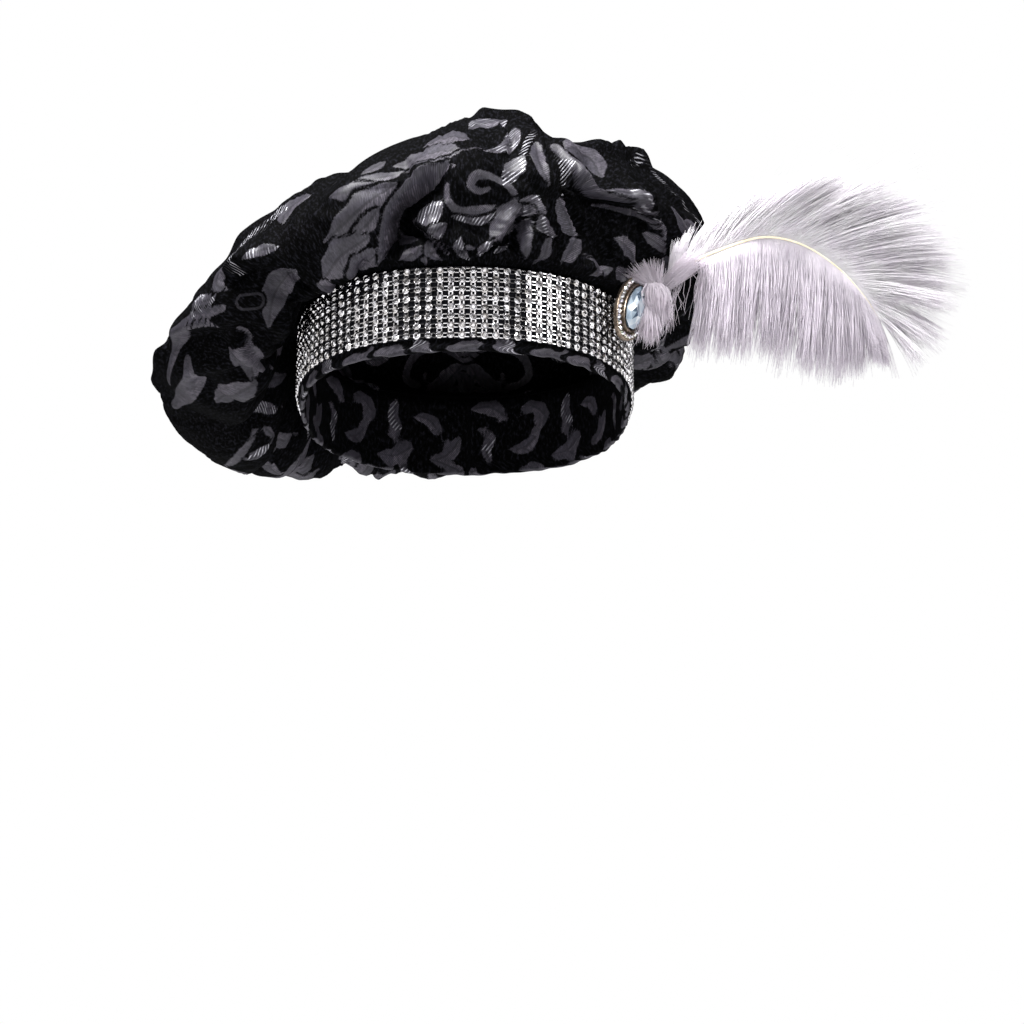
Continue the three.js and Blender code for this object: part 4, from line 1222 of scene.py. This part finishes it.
def round_oval(half, count):
    """Places evenly round an oval, each with its angle."""
    turn = np.linspace(0, 2 * np.pi, 2001)
    oval = np.stack([half[0] * np.cos(turn), half[1] * np.sin(turn)], axis=-1)
    run = np.concatenate([[0], np.cumsum(np.linalg.norm(np.diff(oval, axis=0), axis=1))])
    angles = np.interp((np.arange(count) + 0.5) / count * run[-1], run, turn)
    return [(half[0] * math.cos(a) * MM, half[1] * math.sin(a) * MM, a) for a in angles]


beads = []
for half, count, up, size in BEAD_ROWS:
    for x, y, angle in round_oval(half, count):
        bpy.ops.mesh.primitive_ico_sphere_add(subdivisions=1, radius=size * MM, location=(x, y, up * MM))
        beads.append(bpy.context.object)
bpy.ops.mesh.primitive_cylinder_add(
    vertices=16, radius=POST_RADIUS * MM, depth=POST_LENGTH * MM, location=(0, 0, POST_UP * MM)
)
post = bpy.context.object
setting = settle([plate, bezel, *beads, post], "brooch_setting_metal")

halo = []
tilt = np.random.default_rng(25)
for x, y, angle in round_oval(HALO_HALF, HALO_STONES):
    bpy.ops.mesh.primitive_cone_add(
        vertices=8, radius1=1.42 * MM, radius2=0.75 * MM, depth=1.3 * MM, location=(x, y, 0.45 * MM)
    )
    bpy.context.object.rotation_euler = (*tilt.normal(0, 0.12, 2), angle)
    halo.append(bpy.context.object)
halo_stones = settle(halo, "brooch_halo_stones")

bpy.ops.mesh.primitive_circle_add(vertices=STONE_SIDES, radius=0.5, fill_type="NGON")
stone = bpy.context.object
bpy.ops.object.mode_set(mode="EDIT")
bpy.ops.mesh.select_all(action="SELECT")
for grow, rise, twist in ((0.8 / 0.5, -1.2, 0.5), (1 / 0.8, -1.5, 0.5), (1.0, -0.4, 0.0), (0.2, -1.9, 0.0)):
    bpy.ops.mesh.extrude_region_move(TRANSFORM_OT_translate={"value": (0, 0, rise)})
    bpy.ops.transform.resize(value=(grow, grow, 1))
    turn = twist * 2 * math.pi / STONE_SIDES
    bpy.ops.transform.rotate(value=turn, orient_axis="Z", center_override=(0, 0, 0))
bpy.ops.mesh.select_all(action="SELECT")
bpy.ops.mesh.normals_make_consistent(inside=False)
bpy.ops.mesh.quads_convert_to_tris()
bpy.ops.object.mode_set(mode="OBJECT")
stone.scale = (STONE_HALF[0] * MM, STONE_HALF[1] * MM, MM)
stone.location = (0, 0, 5.4 * MM)
brooch_stone = settle([stone], "brooch_main_stone")
# Painted reflections: a random level for each facet, which the crystal's colour turns into dark, pale and
# near-white facets.
painted_facet_glint = brooch_stone.data.attributes.new("painted_facet_glint", "FLOAT", "FACE")
painted_glint_levels = np.random.default_rng(27).uniform(0, 1, len(brooch_stone.data.polygons))
painted_facet_glint.data.foreach_set("value", painted_glint_levels.astype(np.float32))

bpy.ops.mesh.primitive_circle_add(vertices=12, radius=0.99, fill_type="NGON")
cup = bpy.context.object
bpy.ops.object.mode_set(mode="EDIT")
bpy.ops.mesh.select_all(action="SELECT")
for grow, rise in ((0.72, -0.9), (0.55, -0.45), (0.2, -0.2)):
    bpy.ops.mesh.extrude_region_move(TRANSFORM_OT_translate={"value": (0, 0, rise)})
    bpy.ops.transform.resize(value=(grow, grow, 1))
    bpy.ops.transform.rotate(value=math.pi / 12, orient_axis="Z", center_override=(0, 0, 0))
bpy.ops.mesh.select_all(action="SELECT")
bpy.ops.mesh.quads_convert_to_tris()
bpy.ops.object.mode_set(mode="OBJECT")
cup.scale = (STONE_HALF[0] * MM, STONE_HALF[1] * MM, MM)
cup.location = (0, 0, 1.9 * MM)
stone_foil = settle([cup], "brooch_foil")

cast, tree = new_material("warm_grey_cast_metal")
where = add(tree, "TexCoord").outputs["Object"]
tarnish = add(tree, "TexNoise", {"Vector": where, "Scale": 260.0, "Detail": 5.0}).outputs["Fac"]
colour = blend(tree, ramp(tree, tarnish, 0.35, 0.7), linear("#8d7f72"), linear("#4f443b"))
relief = add(tree, "Bump", {"Height": tarnish, "Strength": 0.25, "Distance": 0.3 * MM}).outputs["Normal"]
dulled = ramp(tree, tarnish, 0.3, 0.7, 0.2, 0.42)
shader = add(
    tree,
    "BsdfPrincipled",
    {"Base Color": colour, "Metallic": 1.0, "Roughness": dulled, "Normal": relief},
)
add(tree, "OutputMaterial", {"Surface": shader.outputs[0]})
setting.data.materials.append(cast)

clear, tree = new_material("clear_foiled_rhinestone")
where = add(tree, "TexCoord").outputs["Object"]
# Painted glints: a faint random colour in small patches, standing in for the coloured fire that light breaks
# into in cut crystal.
painted_fire = add(tree, "TexVoronoi", {"Vector": where, "Scale": 700.0}).outputs["Color"]
colour = blend(tree, 0.12, linear("#d8d6d8"), painted_fire)
shader = add(
    tree,
    "BsdfPrincipled",
    {"Base Color": colour, "Metallic": 0.85, "Roughness": 0.08, "Coat Weight": 0.6},
)
add(tree, "OutputMaterial", {"Surface": shader.outputs[0]})
halo_stones.data.materials.append(clear)

crystal, tree = new_material("pale_blue_cut_crystal")
where = add(tree, "TexCoord").outputs["Object"]
inner = add(tree, "Attribute", attribute_name="painted_facet_glint").outputs["Fac"]
cloud = add(tree, "TexVoronoi", {"Vector": where, "Scale": 190.0}, feature="F1").outputs["Distance"]
shown = sums(tree, "ADD", inner, ramp(tree, cloud, 0.0, 0.9, -0.2, 0.2))
# The pale blue is the stone's own colour; the dark blue-grey and near-white facets are painted reflections of
# light and dark around it.
colour = blend(tree, ramp(tree, shown, 0.15, 0.65), linear("#48596c"), linear("#aebfce"))
colour = blend(tree, ramp(tree, shown, 0.6, 1.0), colour, linear("#f2f5f8"))
shader = add(
    tree,
    "BsdfPrincipled",
    {"Base Color": colour, "Roughness": 0.03, "Transmission Weight": 0.45, "IOR": 1.5, "Coat Weight": 0.6},
)
add(tree, "OutputMaterial", {"Surface": shader.outputs[0]})
brooch_stone.data.materials.append(crystal)

backing, tree = new_material("blue_silver_foil")
where = add(tree, "TexCoord").outputs["Object"]
crinkle = add(tree, "TexVoronoi", {"Vector": where, "Scale": 260.0}, feature="SMOOTH_F1").outputs["Distance"]
colour = blend(tree, ramp(tree, crinkle, 0.0, 0.8), linear("#d5e2ee"), linear("#8fa9c2"))
relief = add(tree, "Bump", {"Height": crinkle, "Strength": 0.6, "Distance": 0.4 * MM}).outputs["Normal"]
shader = add(
    tree,
    "BsdfPrincipled",
    {"Base Color": colour, "Metallic": 0.95, "Roughness": 0.1, "Normal": relief},
)
add(tree, "OutputMaterial", {"Surface": shader.outputs[0]})
stone_foil.data.materials.append(backing)
for piece, node, finish in (
    (setting, "brooch_setting", "setting_metal"),
    (halo_stones, "brooch_setting", "crystal"),
    (brooch_stone, "brooch_stone", "crystal"),
    (stone_foil, "brooch_stone", "setting_metal"),
):
    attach(piece, "root")
    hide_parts(node)


# PLUME
# One ostrich feather, its quill pushed behind the brooch and curled over by steam. The barbs of the outer vane
# sweep up and out in soft locks, and those of the inner vane hang straight down, fine and downy.

QUILL_LINE = [
    (84, -46.6, 33), (89.3, -41.3, 40), (97, -45, 50), (110.5, -50, 62.3), (129, -51, 71),
    (147.5, -47, 77.9), (166.4, -41, 76.4), (185, -34, 66.6), (199, -27, 53.4), (206, -22, 44),
]
QUILL_SIDES, QUILL_STEPS = 8, 60
# Each station along the quill: the barbs' angle from +X towards +Z and their length, for both vanes.
PLUME_STATIONS = {
    "along": [0.22, 0.33, 0.45, 0.58, 0.7, 0.82, 0.92, 1.0],
    "outer_angle": [72, 50, 40, 30, 17, 2, -22, -52],
    "outer_length": [21, 44, 62, 66, 62, 54, 43, 28],
    "inner_angle": [-98, -98, -97, -96, -95, -92, -86, -76],
    "inner_length": [32, 45, 53, 58, 57, 47, 34, 24],
}
VANE_BARBS = 4600
LOCK_SPACING = 0.03  # of the quill's length, between the locks that the barbs gather into
BARB_STEPS = 6


def strands(lines, root_radius, tip_radius):
    """Tapered three-sided strands along lines of points, as one set of places and faces."""
    lines = np.asarray(lines, float)
    count, steps = lines.shape[:2]
    way = np.gradient(lines, axis=1)
    way /= np.maximum(np.linalg.norm(way, axis=-1, keepdims=True), 1e-9)
    side = np.cross(way, np.array([0.13, 0.97, 0.21]))
    side /= np.maximum(np.linalg.norm(side, axis=-1, keepdims=True), 1e-9)
    out = np.cross(side, way)
    radius = np.linspace(1, 0, steps)[None, :, None] * (root_radius - tip_radius) + tip_radius
    corners = [lines + radius * (math.cos(a) * side + math.sin(a) * out) for a in (0.5, 2.594, 4.689)]
    places = np.stack(corners, axis=2).reshape(-1, 3)
    one = ring_faces(steps, 3).tolist() + [[2, 1, 0], [steps * 3 - 3, steps * 3 - 2, steps * 3 - 1]]
    faces = [[corner + i * steps * 3 for corner in face] for i in range(count) for face in one]
    return places, faces


fine = spline(QUILL_LINE, np.linspace(0, len(QUILL_LINE) - 1, 400))
quill_run = np.concatenate([[0], np.cumsum(np.linalg.norm(np.diff(fine, axis=0), axis=1))])
quill_share = quill_run / quill_run[-1]


def on_quill(along):
    return np.stack([np.interp(along, quill_share, fine[:, k]) for k in range(3)], axis=-1)


def vane(side, seed):
    """The barbs of one vane: each leaves the quill at its station's angle, bends, and leans into its lock."""
    chance = np.random.default_rng(seed)
    along = np.sort(chance.uniform(0.17 if side == "outer" else 0.31, 1.0, VANE_BARBS))
    lock = np.rint(along / LOCK_SPACING + 0.35 * chance.normal(size=VANE_BARBS)).astype(int)
    lock_chance = np.random.default_rng(seed + 1)
    lock_angle = lock_chance.normal(0, 3.5, 64)[lock]
    lock_length = lock_chance.normal(1.0, 0.07, 64)[lock]
    lock_back = lock_chance.normal(0, 0.1, 64)[lock]
    stations = PLUME_STATIONS["along"]
    pulled = along + 0.6 * (lock * LOCK_SPACING - along)
    angle = np.interp(pulled, stations, PLUME_STATIONS[side + "_angle"]) + lock_angle
    angle = angle + chance.normal(0, 2.5, VANE_BARBS)
    length = np.interp(along, stations, PLUME_STATIONS[side + "_length"]) * lock_length
    length = length * np.clip(chance.normal(0.95, 0.12, VANE_BARBS), 0.45, 1.12)
    bend = 18.0 if side == "outer" else 5.0
    back = 0.12 * along + lock_back * along + chance.normal(0, 0.09, VANE_BARBS)
    line = [on_quill(along)]
    for step in range(1, BARB_STEPS + 1):
        share = step / BARB_STEPS
        heading = np.radians(angle + bend * (0.6 - share) + chance.normal(0, 1.5, VANE_BARBS))
        way = np.stack([np.cos(heading), back * (0.4 + share), np.sin(heading)], axis=-1)
        line.append(line[-1] + way * (length / BARB_STEPS)[:, None])
    line = np.stack(line, axis=1)
    gather = (lock * LOCK_SPACING - along) * quill_run[-1]
    drift = np.gradient(fine, axis=0)[np.searchsorted(quill_share, np.clip(along, 0, 0.999))]
    drift /= np.linalg.norm(drift, axis=-1, keepdims=True)
    pull = smooth(0.2, 1, np.linspace(0, 1, BARB_STEPS + 1))
    return line + 0.5 * drift[:, None, :] * gather[:, None, None] * pull[None, :, None]


quill_places = on_quill(np.linspace(0, 1, QUILL_STEPS))
quill_way = np.gradient(quill_places, axis=0)
quill_way /= np.linalg.norm(quill_way, axis=-1, keepdims=True)
quill_side = np.cross(quill_way, (0, 1, 0))
quill_side /= np.linalg.norm(quill_side, axis=-1, keepdims=True)
quill_out = np.cross(quill_side, quill_way)
radius = np.interp(np.linspace(0, 1, QUILL_STEPS), (0, 0.15, 1), (1.25, 1.0, 0.3))[:, None]
rings = [
    quill_places + radius * (math.cos(a) * quill_side + math.sin(a) * quill_out)
    for a in np.arange(QUILL_SIDES) * 2 * np.pi / QUILL_SIDES
]
faces = ring_faces(QUILL_STEPS, QUILL_SIDES).tolist()
quill_end = (QUILL_STEPS - 1) * QUILL_SIDES
faces += [list(range(QUILL_SIDES))[::-1], list(range(quill_end, quill_end + QUILL_SIDES))]
quill = mesh_piece("plume_quill", np.stack(rings, axis=1), faces)
horn, tree = new_material("pale_horn_quill")
where = add(tree, "TexCoord").outputs["Object"]
grain = add(tree, "TexNoise", {"Vector": where, "Scale": 180.0, "Detail": 3.0}).outputs["Fac"]
colour = blend(tree, ramp(tree, grain, 0.3, 0.7), linear("#efe6d0"), linear("#dfd0ae"))
shader = add(tree, "BsdfPrincipled", {"Base Color": colour, "Roughness": 0.38})
add(tree, "OutputMaterial", {"Surface": shader.outputs[0]})
quill.data.materials.append(horn)


def barb_material(name, dark, light):
    """A matte, half see-through feather barb, with its tint drifting between two colours."""
    material, tree = new_material(name)
    where = add(tree, "TexCoord").outputs["Object"]
    tint = add(tree, "TexNoise", {"Vector": where, "Scale": 120.0, "Detail": 3.0}).outputs["Fac"]
    colour = blend(tree, ramp(tree, tint, 0.3, 0.7), linear(dark), linear(light))
    surface = add(tree, "BsdfPrincipled", {"Base Color": colour, "Roughness": 0.75, "Specular IOR Level": 0.2})
    through = add(tree, "BsdfTranslucent", {"Color": colour})
    both = add(tree, "MixShader", {0: 0.45, 1: surface.outputs[0], 2: through.outputs[0]})
    add(tree, "OutputMaterial", {"Surface": both.outputs[0]})
    return material


# Painted light and shade on one white feather: the outer vane's barbs are coloured lighter and the inner vane's
# darker, to even out how the lamps fall on each.
barb = {
    "outer": barb_material("ostrich_barb_painted_light", "#f7f3f8", "#fefdfe"),
    "inner": barb_material("ostrich_barb_painted_shade", "#e0dae2", "#eee9ef"),
}
plume = [quill]
for side, seed in (("outer", 31), ("inner", 41)):
    places, faces = strands(vane(side, seed), 0.22, 0.07)
    barbs = mesh_piece("plume_" + side + "_vane", places, faces)
    barbs.data.materials.append(barb[side])
    plume.append(barbs)
for piece in plume:
    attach(piece, "root")
    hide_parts("ostrich_plume")


# DOWN
# The short soft barbs at the plume's root, left on the quill to hide the pin: a tuft that stands up beside the
# setting, a round puff and a hanging fan, with a few bare strands that trail over the crown behind them.

# Each tuft: its root and half its breadth there, its barbs' angle from +X towards +Z, how far they fan to
# either side, how much of the fan closes again towards the tips, and their length and number.
DOWN_TUFTS = [
    {
        "root": (92, -60.5, 48), "breadth": 2.4, "angle": 116, "fan": 46,
        "close": 0.3, "length": 12, "barbs": 420,
    },
    {
        "root": (92.5, -62, 47.5), "breadth": 2.8, "angle": -87, "fan": 44,
        "close": 2.1, "length": 16, "barbs": 640,
    },
    {
        "root": (90, -62.5, 35), "breadth": 2.6, "angle": -92, "fan": 15,
        "close": 0.5, "length": 17, "barbs": 420,
    },
    {
        "root": (97, -59.5, 46), "breadth": 2.2, "angle": -88, "fan": 14,
        "close": 0.4, "length": 21, "barbs": 90,
    },
    {
        "root": (96, -54, 48), "breadth": 1.6, "angle": 42, "fan": 15,
        "close": 0.8, "length": 24, "barbs": 460,
    },
]
STRAYS = 60


def tuft(root, breadth, angle, fan, close, length, barbs, chance):
    """The barbs of one tuft, fanning out from its root."""
    offset = np.clip(chance.normal(0, 0.5, barbs), -1, 1)
    reach = length * np.clip(chance.normal(0.85, 0.16, barbs), 0.3, 1.15)
    lean = chance.normal(-0.12, 0.22, barbs)
    aside = -math.copysign(breadth, math.sin(math.radians(angle))) * (offset + chance.normal(0, 0.3, barbs))
    across = np.stack([aside, 0 * aside, 0 * aside], axis=-1)
    line = [np.asarray(root, float) + across + chance.normal(0, 0.5, (barbs, 3))]
    for step in range(1, BARB_STEPS + 1):
        share = (step - 0.5) / BARB_STEPS
        turned = np.radians(angle + fan * offset * (1 - close * share) + chance.normal(0, 4, barbs))
        way = np.stack([np.cos(turned), lean * (1 - share), np.sin(turned)], axis=-1)
        line.append(line[-1] + way * (reach / BARB_STEPS)[:, None])
    return np.stack(line, axis=1)


# Painted shade: the down is coloured a darker lilac grey than the barbs of the outer vane, for the shade it
# sits in at the plume's root.
fluff = barb_material("ostrich_down_painted_shade", "#ddd5dd", "#e9e3ea")
chance = np.random.default_rng(51)
lines = np.vstack([tuft(chance=chance, **row) for row in DOWN_TUFTS])
places, faces = strands(lines, 0.22, 0.06)
down = mesh_piece("plume_down_tufts", places, faces)
along = chance.uniform(0.1, 0.34, STRAYS)
line = [on_quill(along)]
for step in range(1, BARB_STEPS + 1):
    heading = np.radians(-100 + 16 * chance.normal(size=STRAYS))
    way = np.stack([np.cos(heading), -0.12 + 0.1 * chance.normal(size=STRAYS), np.sin(heading)], axis=-1)
    line.append(line[-1] + way * (chance.uniform(18, 34, STRAYS) / BARB_STEPS)[:, None])
places, faces = strands(np.stack(line, axis=1), 0.24, 0.08)
strays = mesh_piece("plume_stray_barbs", places, faces)
for piece in (down, strays):
    piece.data.materials.append(fluff)
    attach(piece, "root")
    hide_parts("plume_down")


# STUDIO
# A plain pale floor well below, as the bonnet is held up, with a large soft light above the front and a fill
# from each side. The camera stands low in front and looks up. The places here are metres.

FLOOR_UP = -0.56
bpy.ops.mesh.primitive_plane_add(size=12, location=(0, 0, FLOOR_UP))
floor = bpy.context.object
floor.name = "floor"
paper, tree = new_material("pale_studio_paper")
where = add(tree, "TexCoord").outputs["Object"]
fibre = add(tree, "TexNoise", {"Vector": where, "Scale": 30.0, "Detail": 4.0}).outputs["Fac"]
colour = blend(tree, ramp(tree, fibre, 0.3, 0.7), linear("#e9e9ea"), linear("#f0f0f0"))
shader = add(tree, "BsdfPrincipled", {"Base Color": colour, "Roughness": 0.9})
add(tree, "OutputMaterial", {"Surface": shader.outputs[0]})
floor.data.materials.append(paper)

world = bpy.data.worlds.new("studio_white")
world.use_nodes = True
tree = world.node_tree
tree.nodes.clear()
seen = add(tree, "LightPath").outputs["Is Camera Ray"]
strength = ramp(tree, seen, 0, 1, 0.15, 1.0)
sky = add(tree, "Background", {"Color": (1, 1, 1, 1), "Strength": strength})
add(tree, "OutputWorld", {"Surface": sky.outputs[0]})
bpy.context.scene.world = world


def soft_box(name, place, size, power):
    lamp = bpy.data.lights.new(name, "AREA")
    lamp.size = size
    lamp.energy = power
    box = bpy.data.objects.new(name, lamp)
    box.location = place
    box.rotation_euler = (Vector((0.02, 0, 0.06)) - Vector(place)).to_track_quat("-Z", "Y").to_euler()
    bpy.context.scene.collection.objects.link(box)


soft_box("key", (-0.4, -0.7, 1.4), 0.6, 88)
soft_box("fill_left", (-1.4, -0.8, 0.35), 1.3, 5)
soft_box("fill_right", (1.2, -0.9, 0.95), 1.0, 24)
soft_box("front", (0.15, -1.7, 0.2), 0.9, 5)

CAMERA_TILT = 16
lens = bpy.data.cameras.new("camera")
lens.sensor_width = 36
lens.lens = 112.5
camera = bpy.data.objects.new("camera", lens)
camera.location = (0.0235, -1.5249, -0.4867)
camera.rotation_euler = (math.radians(90 + CAMERA_TILT), 0, 0)
bpy.context.scene.collection.objects.link(camera)
bpy.context.scene.camera = camera
bpy.context.scene.view_settings.view_transform = "Standard"

bpy.context.view_layer.update()
